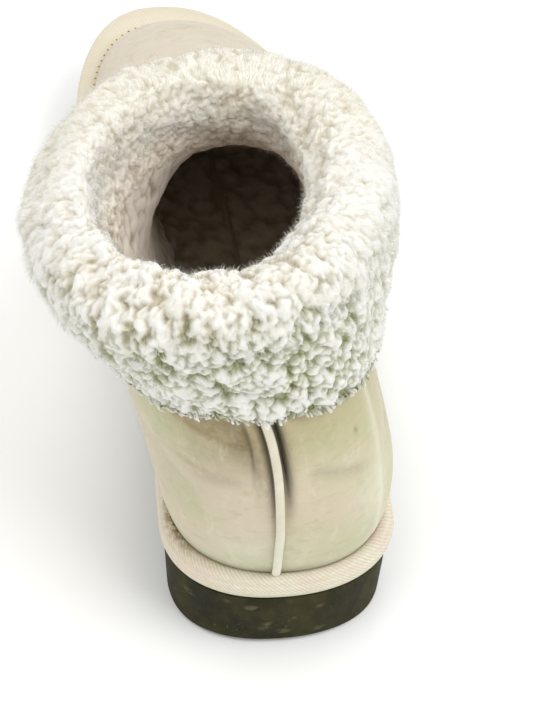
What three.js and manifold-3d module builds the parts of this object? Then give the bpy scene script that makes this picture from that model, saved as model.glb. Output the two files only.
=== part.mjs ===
// A right-foot sheepskin slipper boot with a turned-down fleece cuff, in millimetres.
// The toe points along -Y, the wearer's right is -X, and the sole stands on Z = 0.
// Shapes are worked out in the last's own frame first: across (towards the outer
// side of the foot), along (from the heel's back towards the toe) and up.

import * as THREE from "three";
import Module from "manifold-3d";

const wasm = await Module();
wasm.setup();

// Driving sizes of the last
const SOLE_LENGTH = 272;
const BALL_WIDTH = 90;
const HEEL_WIDTH = 68;
const TOE_SWING = 18;
const HEEL_THICKNESS = 22.8;
const BALL_THICKNESS = 18;
const COLLAR_RISE = 112;
const SHAFT_LEAN = 21;
const COLLAR_TURN = 0.15; // how far the collar's middle line runs outwards per mm forwards

// Outsole
const SOLE_TAPER = 1;
const SOLE_EDGE = 0.9;
const TOE_SPRING = 9;
const HEEL_BEVEL = 1.6;
const ARCH_LIFT = 1.6;
const TREAD_DEPTH = 2.4;
const TREAD_GROOVE = 3;
const TREAD_PITCH = 12;
const TREAD_MARGIN = 8;

// Wrapped band, the upper's wall, insole and heel piping
const GAP = 0.35;
const CUFF_GAP = 0.5;
const BAND_HEIGHT = 8.7;
const BAND_BULGE = 1.8;
const WALL = 2.4;
const INSOLE_THICKNESS = 4;
const INSOLE_EDGE = 1;
const PIPING_WIDTH = 3.2;
const PIPING_RISE = 1.8;
const PIPING_START = 1.08; // in sections up from the feather edge
const PIPING_END = 0.98; // in shares of the cuff's drop

// Fleece cuff
const CUFF_DROP = 36;
const CUFF_SIDE_DROP = 10; // how much lower the fall hangs at its two sides
const CUFF_PILE = 11.5;
const LINER_DROP = 32;
const LINER_PILE = 9.5;
const LOCK_COLUMNS = 42; // locks side by side round the cuff
const LOCK_ROWS = 16; // rows of locks from the fall's hem to the liner's edge
const LOCK_RISE = 3.6; // how far a lock's tip stands out of the pile
const LOCK_HANG = 3; // how far its tip hangs towards the nearer edge
const LOCK_UNEVEN = 0.3; // how much the locks differ in size, and their tips wander

// Facets round a loop, and round the cuff, both even
const LOOP_STEPS = 48;
const CUFF_STEPS = 2 * LOCK_COLUMNS;
const BEND_WEIGHT = 30; // mm of outline that one radian of bend counts for
const DENSE = 160; // steps along one side of a loop before its points are spread
const NORMAL_REACH = 0.012; // how far up and down the upper a normal looks
const GRID_STEPS = 8; // rows of the cuff's grid for each section of the upper
const HALVINGS = 30; // steps in which a place is found

// Sole outline: at shares of the length, the half width as a share of half the
// ball width where it follows the ball and of half the heel width where it
// follows the heel, and the middle line's place across as a share of the swing.
const OUTLINE = [
  { at: 0.0, heel: 1.0, ball: 0.0, middle: 0.13 },
  { at: 0.08, heel: 1.0, ball: 0.0, middle: 0.13 },
  { at: 0.16, heel: 1.0, ball: 0.0, middle: 0.13 },
  { at: 0.35, heel: 0.8, ball: 0.12, middle: 0.19 },
  { at: 0.5, heel: 0.35, ball: 0.5, middle: 0.09 },
  { at: 0.7, heel: 0.0, ball: 0.995, middle: -0.22 },
  { at: 0.85, heel: 0.0, ball: 0.955, middle: -0.57 },
  { at: 1.0, heel: 0.0, ball: 0.895, middle: -1.0 },
];
// Where the tread's grooves start and end, as shares of the length
const TREAD_FIELDS = [
  { from: 0.07, to: 0.33 },
  { from: 0.55, to: 0.86 },
];
const HEEL_CAP = 0.41; // length of the heel's round end, as a share of the heel width
const HEEL_POWER = 2.22;
const TOE_CAP = 0.94; // length of the toe's round end, as a share of the ball width
const TOE_POWER = 2.3;

// The outsole's wall from its lower edge to its top edge: how far in it stands, as
// shares of the taper and of the edge's rounding, and how high between the sole's two
// faces, give or take shares of the rounding.
const SOLE_WALL = [
  { taper: 1, round: 1, height: 0, above: 0 },
  { taper: 1, round: 0, height: 0, above: 1 },
  { taper: 0.33, round: 0, height: 0.55, above: 0 },
  { taper: 0, round: 0, height: 1, above: -0.5 },
  { taper: 0, round: 0.5, height: 1, above: 0 },
];

// Side profile of the sole: its top over the floor as shares of the heel's and
// the ball's thickness, and its underside as shares of the bevel, arch and spring.
const SOLE_PROFILE = [
  { at: 0.0, heel: 1.0, ball: 0.0, bevel: 1.0, arch: 0.0, spring: 0.0, lift: 0.0 },
  { at: 0.05, heel: 1.0, ball: 0.0, bevel: 0.0, arch: 0.0, spring: 0.0, lift: 0.0 },
  { at: 0.16, heel: 0.99, ball: 0.0, bevel: 0.0, arch: 0.0, spring: 0.0, lift: 0.0 },
  { at: 0.32, heel: 0.6, ball: 0.4, bevel: 0.0, arch: 0.0, spring: 0.0, lift: 0.0 },
  { at: 0.42, heel: 0.25, ball: 0.77, bevel: 0.0, arch: 1.0, spring: 0.0, lift: 0.0 },
  { at: 0.52, heel: 0.04, ball: 0.97, bevel: 0.0, arch: 0.0, spring: 0.0, lift: 0.0 },
  { at: 0.74, heel: 0.0, ball: 1.0, bevel: 0.0, arch: 0.0, spring: 0.0, lift: 0.03 },
  { at: 0.87, heel: 0.0, ball: 0.96, bevel: 0.0, arch: 0.0, spring: 0.3, lift: 0.4 },
  { at: 1.0, heel: 0.0, ball: 0.86, bevel: 0.0, arch: 0.0, spring: 1.0, lift: 0.95 },
];

// Sections of the upper from its feather edge to the fold of the collar, seen from
// the side: back and front are shares of the sole's length, rises are shares of the
// collar's rise over the heel seat, and the caps, the lengths of the round ends, are
// shares of the section's own length. power shapes the front's round end.
const SECTION_SIDES = [
  { back: 0.022, front: 0.962, backRise: 0.0, frontRise: 0.0, heelCap: 0.11, toeCap: 0.31, power: 2.3 },
  { back: 0.01, front: 0.956, backRise: 0.078, frontRise: 0.078, heelCap: 0.12, toeCap: 0.32, power: 2.3 },
  { back: -0.002, front: 0.935, backRise: 0.17, frontRise: 0.155, heelCap: 0.14, toeCap: 0.34, power: 2.25 },
  { back: -0.004, front: 0.885, backRise: 0.262, frontRise: 0.24, heelCap: 0.165, toeCap: 0.39, power: 2.15 },
  { back: 0.0, front: 0.798, backRise: 0.355, frontRise: 0.325, heelCap: 0.2, toeCap: 0.43, power: 2.05 },
  { back: 0.008, front: 0.682, backRise: 0.452, frontRise: 0.42, heelCap: 0.25, toeCap: 0.46, power: 2.0 },
  { back: 0.016, front: 0.578, backRise: 0.56, frontRise: 0.53, heelCap: 0.32, toeCap: 0.49, power: 2.0 },
  { back: 0.023, front: 0.495, backRise: 0.675, frontRise: 0.65, heelCap: 0.4, toeCap: 0.49, power: 2.05 },
  { back: 0.03, front: 0.44, backRise: 0.79, frontRise: 0.76, heelCap: 0.45, toeCap: 0.48, power: 2.15 },
  { back: 0.036, front: 0.416, backRise: 0.9, frontRise: 0.85, heelCap: 0.48, toeCap: 0.48, power: 2.25 },
  { back: 0.04, front: 0.408, backRise: 1.0, frontRise: 0.935, heelCap: 0.5, toeCap: 0.48, power: 2.25 },
];
// The same sections across: halves are shares of half the ball width, follow says how
// much a section keeps to the sole's top and middle line, lean is its share of the
// shaft's lean towards the inner side, and held is the same at the back seam, where
// the heel keeps the shaft upright for longer.
const SECTION_WIDTHS = [
  { heel: 0.66, mid: 0.6, ball: 0.83, follow: 1.0, lean: 0.0, held: 0.0 },
  { heel: 0.72, mid: 0.68, ball: 0.9, follow: 1.0, lean: 0.01, held: 0.0 },
  { heel: 0.78, mid: 0.76, ball: 0.935, follow: 0.85, lean: 0.05, held: 0.0 },
  { heel: 0.81, mid: 0.8, ball: 0.905, follow: 0.6, lean: 0.12, held: 0.0 },
  { heel: 0.82, mid: 0.825, ball: 0.85, follow: 0.35, lean: 0.2, held: 0.02 },
  { heel: 0.83, mid: 0.84, ball: 0.81, follow: 0.15, lean: 0.28, held: 0.06 },
  { heel: 0.83, mid: 0.85, ball: 0.79, follow: 0.05, lean: 0.36, held: 0.13 },
  { heel: 0.83, mid: 0.86, ball: 0.8, follow: 0.0, lean: 0.46, held: 0.26 },
  { heel: 0.83, mid: 0.875, ball: 0.82, follow: 0.0, lean: 0.6, held: 0.45 },
  { heel: 0.83, mid: 0.885, ball: 0.84, follow: 0.0, lean: 0.75, held: 0.68 },
  { heel: 0.83, mid: 0.885, ball: 0.85, follow: 0.0, lean: 0.88, held: 0.86 },
];
const SECTIONS = SECTION_SIDES.map((row, i) => ({ ...row, ...SECTION_WIDTHS[i] }));
const FEATHER = 1 / (SECTIONS.length - 1); // the section at the band's top edge
const STATIONS = [0.18, 0.5, 0.78]; // where heel, mid and ball halves hold, along a section
const HELD_REACH = 0.3; // share of a section over which the back seam's hold fades

// The band's outer face from its foot up, and its crown: shares of its bulge and
// height, and how far its crown has run from the shoulder towards the upper.
const BAND_FACE = [
  { bulge: 0.7, rise: 0.26 },
  { bulge: 1, rise: 0.54 },
  { bulge: 0.33, rise: 0.84 },
];
const BAND_CROWN = { inwards: 0.42, rise: 0.12 };

// The piping's section: shares of half its width and of its rise off the upper
const PIPING_SECTION = [
  { side: -1, out: 0 },
  { side: -0.84, out: 0.62 },
  { side: 0, out: 1 },
  { side: 0.84, out: 0.62 },
  { side: 1, out: 0 },
];
const PIPING_STEPS = 12;
const PIPING_ROUND = 240; // a fine loop, so that the piping lies on the seam

// The cuff's section, walked from the bottom of its outer fall up over the fold and
// down to the liner's edge, then back round the wall. out is a share of the outer
// pile or, when negative, of the liner's; down is a share of the outer drop or the
// liner's drop, and above the fold it is a negative share of the outer pile.
const CUFF_SECTION = [
  { out: 0.1, down: 1.04 },
  { out: 0.24, down: 1.0 },
  { out: 0.42, down: 0.82 },
  { out: 0.68, down: 0.6 },
  { out: 0.96, down: 0.36 },
  { out: 1.1, down: 0.1 },
  { out: 0.96, down: -0.2 },
  { out: 0.46, down: -0.54 },
  { out: -0.1, down: -0.64 },
  { out: -0.72, down: -0.46 },
  { out: -1.14, down: 0.0 },
  { out: -1.24, down: 0.3 },
  { out: -1.2, down: 0.64 },
  { out: -0.9, down: 0.94 },
];

// How the locks change along the walked section: rise and hang are shares of the
// lock's own, and hang is negative where the tips hang towards the hem.
const LOCK_GROWTH = [
  { at: 0.0, rise: 0.55, hang: -0.9 },
  { at: 0.3, rise: 1.0, hang: -1.0 },
  { at: 0.5, rise: 0.9, hang: -0.4 },
  { at: 0.65, rise: 0.75, hang: 0.2 },
  { at: 1.0, rise: 0.45, hang: 0.5 },
];

// Vertices closer than this are one vertex.
const WELD = 1e-4;

const clamp = (value, low, high) => Math.min(high, Math.max(low, value));
const mix = (a, b, share) => a + (b - a) * share;

// A smooth curve through the rows of a table that doesn't overshoot between them.
function smoothColumn(rows, placeOf, valueOf) {
  const x = rows.map(placeOf);
  const y = rows.map(valueOf);
  const last = x.length - 1;
  const step = (i) => (y[i + 1] - y[i]) / (x[i + 1] - x[i]);
  const slopes = y.map((_, i) => {
    if (i === 0 || i === last) return 0;
    const before = step(i - 1);
    const after = step(i);
    return before * after <= 0 ? 0 : (2 * before * after) / (before + after);
  });
  slopes[0] = step(0);
  slopes[last] = step(last - 1);
  return (place) => {
    const at = clamp(place, x[0], x[last]);
    let i = 0;
    while (i < last - 1 && at > x[i + 1]) i += 1;
    const width = x[i + 1] - x[i];
    const t = (at - x[i]) / width;
    const t2 = t * t;
    const t3 = t2 * t;
    return (
      y[i] * (2 * t3 - 3 * t2 + 1) +
      slopes[i] * width * (t3 - 2 * t2 + t) +
      y[i + 1] * (3 * t2 - 2 * t3) +
      slopes[i + 1] * width * (t3 - t2)
    );
  };
}

const outlineHalf = smoothColumn(
  OUTLINE,
  (row) => row.at,
  (row) => (row.heel * HEEL_WIDTH + row.ball * BALL_WIDTH) / 2,
);
const middleLine = smoothColumn(
  OUTLINE,
  (row) => row.at,
  (row) => row.middle * TOE_SWING,
);
const soleTop = smoothColumn(
  SOLE_PROFILE,
  (row) => row.at,
  (row) => row.heel * HEEL_THICKNESS + row.ball * BALL_THICKNESS + row.lift * TOE_SPRING,
);
const soleUnderside = smoothColumn(
  SOLE_PROFILE,
  (row) => row.at,
  (row) => row.bevel * HEEL_BEVEL + row.arch * ARCH_LIFT + row.spring * TOE_SPRING,
);

const sectionPlace = (row, index) => index / (SECTIONS.length - 1);
const sectionColumns = Object.fromEntries(
  Object.keys(SECTIONS[0]).map((name) => [
    name,
    smoothColumn(SECTIONS.map((row, index) => ({ ...row, place: sectionPlace(row, index) })),
      (row) => row.place,
      (row) => row[name]),
  ]),
);

// The round end of an outline: 0 at its tip and 1 from the cap's length on.
function roundEnd(distance, cap, power) {
  const left = clamp(1 - distance / cap, 0, 1);
  return Math.pow(1 - Math.pow(left, power), 1 / power);
}

// Spreads points over one side of a loop, closer together where it bends. side is 1
// for the outer side and -1 for the inner, and pointAt takes a share from back to front.
function evenSide(pointAt, side, count) {
  const points = [];
  for (let i = 0; i <= DENSE; i += 1) {
    points.push(pointAt((1 - Math.cos((Math.PI * i) / DENSE)) / 2, side));
  }
  const lengths = [0];
  for (let i = 1; i <= DENSE; i += 1) {
    const stretch = points[i].clone().sub(points[i - 1]);
    const next = points[Math.min(i + 1, DENSE)].clone().sub(points[Math.min(i, DENSE - 1)]);
    const bend = stretch.angleTo(next) * BEND_WEIGHT;
    lengths.push(lengths[i - 1] + stretch.length() + bend);
  }
  const even = [];
  let j = 0;
  for (let k = 0; k <= count; k += 1) {
    const wanted = (lengths[DENSE] * k) / count;
    while (j < DENSE - 1 && lengths[j + 1] < wanted) j += 1;
    const share = (wanted - lengths[j]) / (lengths[j + 1] - lengths[j]);
    even.push(points[j].clone().lerp(points[j + 1], clamp(share, 0, 1)));
  }
  return even;
}

// A whole loop, from the back's middle round the outer side, the front and the
// inner side, anticlockwise as seen from above.
function evenLoop(pointAt, round) {
  const outer = evenSide(pointAt, 1, round / 2);
  const inner = evenSide(pointAt, -1, round / 2);
  return [...outer, ...inner.slice(1, -1).reverse()];
}

// The sole's outline grown outwards by a distance, at a height given along it.
function outlineLoop(grow, heightAt, round = LOOP_STEPS) {
  const length = SOLE_LENGTH + 2 * grow;
  return evenLoop((share, side) => {
    const along = share * length - grow;
    const at = clamp(along / SOLE_LENGTH, 0, 1);
    const heel = roundEnd(along + grow, HEEL_CAP * HEEL_WIDTH + grow, HEEL_POWER);
    const toe = roundEnd(SOLE_LENGTH + grow - along, TOE_CAP * BALL_WIDTH + grow, TOE_POWER);
    const half = (outlineHalf(at) + grow) * heel * toe;
    return new THREE.Vector3(middleLine(at) * heel + side * half, along, heightAt(at));
  }, round);
}

// The upper's outer face at a place from 0, its feather edge, to 1, the fold.
function upperLoop(place, round = LOOP_STEPS) {
  const row = Object.fromEntries(
    Object.entries(sectionColumns).map(([name, column]) => [name, column(place)]),
  );
  const halves = smoothColumn(
    [
      { at: STATIONS[0], half: row.heel },
      { at: STATIONS[1], half: row.mid },
      { at: STATIONS[2], half: row.ball },
    ],
    (station) => station.at,
    (station) => (station.half * BALL_WIDTH) / 2,
  );
  const back = row.back * SOLE_LENGTH;
  const length = row.front * SOLE_LENGTH - back;
  return evenLoop((share, side) => {
    const along = back + share * length;
    const at = clamp(along / SOLE_LENGTH, 0, 1);
    const heel = roundEnd(share, row.heelCap, HEEL_POWER);
    const toe = roundEnd(1 - share, row.toeCap, row.power);
    const rise = mix(row.backRise, row.frontRise, share) * COLLAR_RISE;
    const seat = mix(HEEL_THICKNESS, soleTop(at), row.follow) + GAP;
    const across = middleLine(at) * mix(1, row.follow, clamp(2 * place - 1, 0, 1));
    const turned = COLLAR_TURN * (along - back - length / 2) - SHAFT_LEAN;
    const fade = (1 - Math.cos(Math.PI * clamp(share / HELD_REACH, 0, 1))) / 2;
    const leaning = mix(row.held, row.lean, fade) * turned;
    return new THREE.Vector3(
      across + leaning + side * halves(share) * heel * toe,
      along,
      seat + rise,
    );
  }, round);
}

// Outward normals of the upper at every point of a loop, level at its two ends.
function upperNormals(place, round = LOOP_STEPS) {
  const below = upperLoop(clamp(place - NORMAL_REACH, 0, 1), round);
  const above = upperLoop(clamp(place + NORMAL_REACH, 0, 1), round);
  const here = upperLoop(place, round);
  return here.map((_, i) => {
    const next = here[(i + 1) % round];
    const previous = here[(i + round - 1) % round];
    const around = next.clone().sub(previous);
    const upwards = above[i].clone().sub(below[i]);
    const normal = around.cross(upwards);
    if (place <= 0 || place >= 1) normal.z = 0;
    return normal.normalize();
  });
}

// A loop that stands off the upper's face; a negative distance lies inside it.
function offsetLoop(place, distance, round = LOOP_STEPS) {
  const normals = upperNormals(place, round);
  return upperLoop(place, round).map((point, i) => point.addScaledVector(normals[i], distance));
}

// Turns loops of equal length into a closed geometry in the part's own frame.
// A ring joins its last loop to its first; otherwise both ends are closed across.
function geometryOf(loops, isRing) {
  const round = loops[0].length;
  const positions = loops.flat().flatMap((p) => [-p.x, -p.y, p.z]);
  const index = [];
  const bands = isRing ? loops.length : loops.length - 1;
  for (let j = 0; j < bands; j += 1) {
    const low = j * round;
    const high = ((j + 1) % loops.length) * round;
    for (let i = 0; i < round; i += 1) {
      const k = (i + 1) % round;
      index.push(low + i, low + k, high + k, low + i, high + k, high + i);
    }
  }
  if (!isRing) {
    const top = (loops.length - 1) * round;
    for (let i = 0; i < round / 2; i += 1) {
      const [a, b, c, d] = [i, i + 1, round - i - 1, (round - i) % round];
      if (b !== c) index.push(top + a, top + b, top + c, c, b, a);
      if (i > 0) index.push(top + a, top + c, top + d, d, c, a);
    }
  }
  const geometry = new THREE.BufferGeometry();
  geometry.setAttribute("position", new THREE.Float32BufferAttribute(positions, 3));
  geometry.setIndex(index);
  return geometry;
}

// Turns small convex sections along a path into a closed geometry.
function tubeGeometry(rings) {
  const width = rings[0].length;
  const index = [];
  for (let j = 0; j < rings.length - 1; j += 1) {
    for (let i = 0; i < width; i += 1) {
      const k = (i + 1) % width;
      const [a, b] = [j * width + i, j * width + k];
      const [c, d] = [b + width, a + width];
      index.push(a, b, c, a, c, d);
    }
  }
  const end = (rings.length - 1) * width;
  for (let i = 1; i < width - 1; i += 1) {
    index.push(0, i + 1, i);
    index.push(end, end + i, end + i + 1);
  }
  const geometry = new THREE.BufferGeometry();
  const positions = rings.flat().flatMap((p) => [-p.x, -p.y, p.z]);
  geometry.setAttribute("position", new THREE.Float32BufferAttribute(positions, 3));
  geometry.setIndex(index);
  return geometry;
}

function solidOf(geometry) {
  return new wasm.Manifold(
    new wasm.Mesh({
      numProp: 3,
      vertProperties: new Float32Array(geometry.getAttribute("position").array),
      triVerts: new Uint32Array(geometry.index.array),
    }),
  );
}

function geometryOfSolid(solid) {
  const mesh = solid.getMesh();
  const geometry = new THREE.BufferGeometry();
  geometry.setAttribute("position", new THREE.BufferAttribute(mesh.vertProperties, 3));
  geometry.setIndex(new THREE.BufferAttribute(mesh.triVerts, 1));
  return geometry;
}

// Outsole: a tapered wall with soft edges, and grooves of tread cut underneath
function outsoleGeometry() {
  const wall = SOLE_WALL.map(({ taper, round, height, above }) =>
    outlineLoop(
      -taper * SOLE_TAPER - round * SOLE_EDGE,
      (at) => mix(soleUnderside(at), soleTop(at), height) + above * SOLE_EDGE,
    ),
  );
  const grooves = TREAD_FIELDS.flatMap(({ from, to }) => {
    const count = Math.max(2, Math.round(((to - from) * SOLE_LENGTH) / TREAD_PITCH));
    return Array.from({ length: count }, (_, i) => {
      const at = mix(from, to, i / (count - 1));
      const reach = roundEnd((1 - at) * SOLE_LENGTH, TOE_CAP * BALL_WIDTH, TOE_POWER);
      const width = 2 * reach * (outlineHalf(at) - SOLE_TAPER - TREAD_MARGIN);
      const box = new THREE.BoxGeometry(width, TREAD_GROOVE, 2 * TREAD_DEPTH);
      box.translate(-middleLine(at), -at * SOLE_LENGTH, soleUnderside(at));
      return solidOf(mergeByPlace(box));
    });
  });
  const body = solidOf(geometryOf(wall, false));
  return geometryOfSolid(body.subtract(wasm.Manifold.union(grooves)));
}

// Joins vertices that lie on the same spot, so that a stock shape is closed.
function mergeByPlace(geometry) {
  const source = geometry.getAttribute("position");
  const seen = new Map();
  const positions = [];
  const numbers = [];
  for (let i = 0; i < source.count; i += 1) {
    const point = [source.getX(i), source.getY(i), source.getZ(i)];
    const key = point.map((value) => Math.round(value / WELD)).join(" ");
    if (!seen.has(key)) {
      seen.set(key, seen.size);
      positions.push(...point);
    }
    numbers.push(seen.get(key));
  }
  const merged = new THREE.BufferGeometry();
  merged.setAttribute("position", new THREE.Float32BufferAttribute(positions, 3));
  const index = Array.from(geometry.index.array, (i) => numbers[i]);
  const kept = [];
  for (let i = 0; i < index.length; i += 3) {
    const [a, b, c] = index.slice(i, i + 3);
    if (a !== b && b !== c && a !== c) kept.push(a, b, c);
  }
  merged.setIndex(kept);
  return merged;
}

// Wrapped band: it stands on the sole's edge and closes against the upper's foot
function bandGeometry() {
  const heightOver = (rise) => (at) => soleTop(at) + rise;
  const inner = [FEATHER, FEATHER / 2, 0].map((place) => offsetLoop(place, GAP));
  const face = BAND_FACE.map(({ bulge, rise }) =>
    outlineLoop(bulge * BAND_BULGE, heightOver(rise * BAND_HEIGHT)),
  );
  const crown = face.at(-1).map((point, i) => {
    const crowned = point.clone().lerp(inner[0][i], BAND_CROWN.inwards);
    return crowned.setZ(crowned.z + BAND_CROWN.rise * BAND_HEIGHT);
  });
  const foot = outlineLoop(-SOLE_EDGE / 2, heightOver(GAP));
  return geometryOf([foot, ...face, crown, ...inner], true);
}

// The wall between its two faces, or with a clearance all round it, a cutter for
// what it passes through.
function wallGeometry(clearance) {
  const places = [0, FEATHER / 2];
  for (let i = 1; i < SECTIONS.length; i += 1) places.push(i * FEATHER);
  const end = places.length - 1;
  const face = (distance) =>
    places.map((place, i) => {
      const rise = { 0: -clearance, [end]: 2 * clearance }[i] ?? 0;
      return offsetLoop(place, distance).map((p) => p.setZ(p.z + rise));
    });
  const outer = face(clearance);
  const inner = face(-WALL - clearance).reverse();
  return geometryOf([...outer, ...inner], true);
}

// Insole: a pad inside the wall's foot, following the sole's top
function insoleGeometry() {
  const inset = -WALL - GAP;
  const foot = offsetLoop(0, inset);
  const above = offsetLoop(FEATHER / 2, inset);
  const rise = sectionColumns.backRise(FEATHER / 2) * COLLAR_RISE;
  const atHeight = (height) => foot.map((p, i) => p.clone().lerp(above[i], height / rise));
  const centre = foot
    .reduce((sum, p) => sum.add(p), new THREE.Vector3())
    .divideScalar(foot.length);
  const rounded = atHeight(INSOLE_THICKNESS).map((p) => {
    const inwards = centre.clone().sub(p).setZ(0).normalize();
    return p.addScaledVector(inwards, INSOLE_EDGE);
  });
  return geometryOf([foot, atHeight(INSOLE_THICKNESS - INSOLE_EDGE), rounded], false);
}

// Depth below the fold, measured up the back, to a place on the upper
function placeAtDepth(depth) {
  const rise = 1 - depth / COLLAR_RISE;
  let low = 0;
  let high = 1;
  for (let i = 0; i < HALVINGS; i += 1) {
    const half = (low + high) / 2;
    if (sectionColumns.backRise(half) < rise) low = half;
    else high = half;
  }
  return (low + high) / 2;
}

// Heel piping: a raised strip on the back seam, from the band to the cuff's hem,
// or with a clearance round it, a cutter.
function pipingGeometry(clearance) {
  const low = FEATHER * PIPING_START;
  const high = placeAtDepth(CUFF_DROP * PIPING_END - 2 * clearance);
  const foot = GAP - clearance;
  const crest = GAP + PIPING_RISE + clearance;
  const half = PIPING_WIDTH / 2 + clearance;
  const rings = [];
  for (let i = 0; i <= PIPING_STEPS; i += 1) {
    const place = mix(low, high, i / PIPING_STEPS);
    const face = upperLoop(place, PIPING_ROUND);
    const normal = upperNormals(place, PIPING_ROUND)[0];
    const across = face[1].clone().sub(face.at(-1)).normalize();
    rings.push(
      PIPING_SECTION.map(({ side, out }) =>
        face[0]
          .clone()
          .addScaledVector(across, side * half)
          .addScaledVector(normal, mix(foot, crest, out)),
      ),
    );
  }
  return tubeGeometry(rings);
}

// The upper's face at even places, for what stands on it at places between them.
function faceGrid(levels, round) {
  return Array.from({ length: levels + 1 }, (_, level) => ({
    loop: upperLoop(level / levels, round),
    normals: upperNormals(level / levels, round),
  }));
}

function standOff(grid, place, i, distance) {
  const level = clamp(place, 0, 1) * (grid.length - 1);
  const low = Math.min(Math.floor(level), grid.length - 2);
  const [below, above] = [grid[low], grid[low + 1]];
  const normal = below.normals[i].clone().lerp(above.normals[i], level - low).normalize();
  return below.loop[i].clone().lerp(above.loop[i], level - low).addScaledVector(normal, distance);
}

// The cuff's plain face: one loop for each row of its section
function cuffFace() {
  const grid = faceGrid(GRID_STEPS * (SECTIONS.length - 1), CUFF_STEPS);
  const fallAt = (i) => {
    const sideways = Math.sin((2 * Math.PI * i) / CUFF_STEPS);
    return CUFF_DROP + CUFF_SIDE_DROP * sideways * sideways;
  };
  return CUFF_SECTION.map(({ out, down }) => {
    const outside = out >= 0;
    const distance = outside ? out * CUFF_PILE : out * LINER_PILE - WALL;
    return Array.from({ length: CUFF_STEPS }, (_, i) => {
      const depth = Math.max(down, 0) * (outside ? fallAt(i) : LINER_DROP);
      const point = standOff(grid, placeAtDepth(depth), i, distance);
      return point.setZ(point.z - Math.min(down, 0) * CUFF_PILE);
    });
  });
}

const lockRise = smoothColumn(LOCK_GROWTH, (row) => row.at, (row) => row.rise);
const lockHang = smoothColumn(LOCK_GROWTH, (row) => row.at, (row) => row.hang);
// A repeatable scatter from -1 to 1 for each lock
const uneven = (i, j) => Math.sin(12.9 * i + 78.2 * j + 0.7 * i * j);

// The same face with every second point of every second row drawn out into the tip
// of a lock, each row of tips set between those of the row before.
function lockedFace() {
  const face = cuffFace();
  const columns = face[0].map((_, i) => new THREE.CatmullRomCurve3(face.map((loop) => loop[i])));
  const steps = 2 * LOCK_ROWS;
  return Array.from({ length: steps + 1 }, (_, j) => {
    const at = j / steps;
    return columns.map((column, i) => {
      const point = column.getPoint(at);
      if (j % 2 === 0 || j === steps) return point;
      const isTip = i % 2 === ((j - 1) / 2) % 2;
      if (!isTip) return point;
      const along = column.getTangent(at);
      const neighbour = columns[(i + 1) % CUFF_STEPS].getPoint(at);
      const around = neighbour.sub(point).normalize();
      const outwards = around.clone().cross(along).normalize();
      const size = 1 + LOCK_UNEVEN * uneven(i, j);
      point.addScaledVector(outwards, LOCK_RISE * lockRise(at) * size);
      point.addScaledVector(along, LOCK_HANG * lockHang(at) * size);
      return point.addScaledVector(around, LOCK_UNEVEN * LOCK_HANG * uneven(j, i));
    });
  });
}

// Cuff: the pile right through the wall's top, with a slot cut for the wall
function cuffGeometry() {
  const closing = [LINER_DROP, CUFF_DROP].map((drop) =>
    offsetLoop(placeAtDepth(drop), -WALL / 2, CUFF_STEPS),
  );
  const roll = solidOf(geometryOf([...lockedFace(), ...closing], true));
  const cutters = [wallGeometry(CUFF_GAP), pipingGeometry(CUFF_GAP)].map(solidOf);
  const pieces = roll.subtract(wasm.Manifold.union(cutters)).decompose();
  // Slivers that the wall cuts off inside the shoe are dropped.
  const whole = pieces.reduce((most, one) => (one.volume() > most.volume() ? one : most));
  return geometryOfSolid(whole);
}

function finish(color, roughness) {
  return new THREE.MeshStandardMaterial({ color, roughness, metalness: 0 });
}

function piece(name, geometry, material) {
  const mesh = new THREE.Mesh(geometry, material);
  mesh.name = name;
  geometry.computeVertexNormals();
  return mesh;
}

const suede = finish(0xcfc9ac, 0.95);
const bandSuede = finish(0xe6dccb, 0.95);
const fleece = finish(0xece8dc, 1);
const foam = finish(0x3d3c28, 0.9);

const shoe = new THREE.Group();
shoe.add(
  piece("outsole", outsoleGeometry(), foam),
  piece("welt_band", bandGeometry(), bandSuede),
  piece("upper", wallGeometry(0), suede),
  piece("insole", insoleGeometry(), fleece),
  piece("heel_piping", pipingGeometry(0), bandSuede),
  piece("cuff", cuffGeometry(), fleece),
);

// The origin is the middle of the shoe's box, on the floor.
const box = new THREE.Box3().setFromObject(shoe, true);
const centre = box.getCenter(new THREE.Vector3());
shoe.position.set(-centre.x, -centre.y, -box.min.z);

export default shoe;
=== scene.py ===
"""Slipper boot of pale suede with a fleece cuff: its looks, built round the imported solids."""
import logging
import math
from dataclasses import dataclass, field
from enum import Enum
from typing import Callable, Sequence

import bmesh
import bpy
import numpy as np
from mathutils import Matrix, Vector
from mathutils.kdtree import KDTree


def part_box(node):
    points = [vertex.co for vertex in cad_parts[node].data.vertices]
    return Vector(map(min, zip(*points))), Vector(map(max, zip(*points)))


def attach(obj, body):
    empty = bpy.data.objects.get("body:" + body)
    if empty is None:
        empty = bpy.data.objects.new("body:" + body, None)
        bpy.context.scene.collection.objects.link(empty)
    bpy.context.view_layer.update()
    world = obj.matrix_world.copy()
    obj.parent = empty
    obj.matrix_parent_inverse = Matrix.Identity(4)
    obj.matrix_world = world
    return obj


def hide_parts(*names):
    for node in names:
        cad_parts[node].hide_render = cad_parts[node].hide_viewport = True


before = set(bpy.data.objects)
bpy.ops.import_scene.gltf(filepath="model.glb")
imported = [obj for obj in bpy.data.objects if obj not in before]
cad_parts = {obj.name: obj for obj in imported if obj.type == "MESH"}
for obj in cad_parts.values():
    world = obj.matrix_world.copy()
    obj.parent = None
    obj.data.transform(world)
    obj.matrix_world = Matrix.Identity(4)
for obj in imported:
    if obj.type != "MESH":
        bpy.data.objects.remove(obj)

LOG = logging.getLogger("slipper")
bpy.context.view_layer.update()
MM = 0.001
BODY = "root"
GROWTH_MARKS = ("lean", "size", "out")
FULL_TURN = 2 * math.pi
ROW_TURN = np.array([-1, -1, 1])
Rule = Callable[[np.ndarray], np.ndarray]


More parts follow.
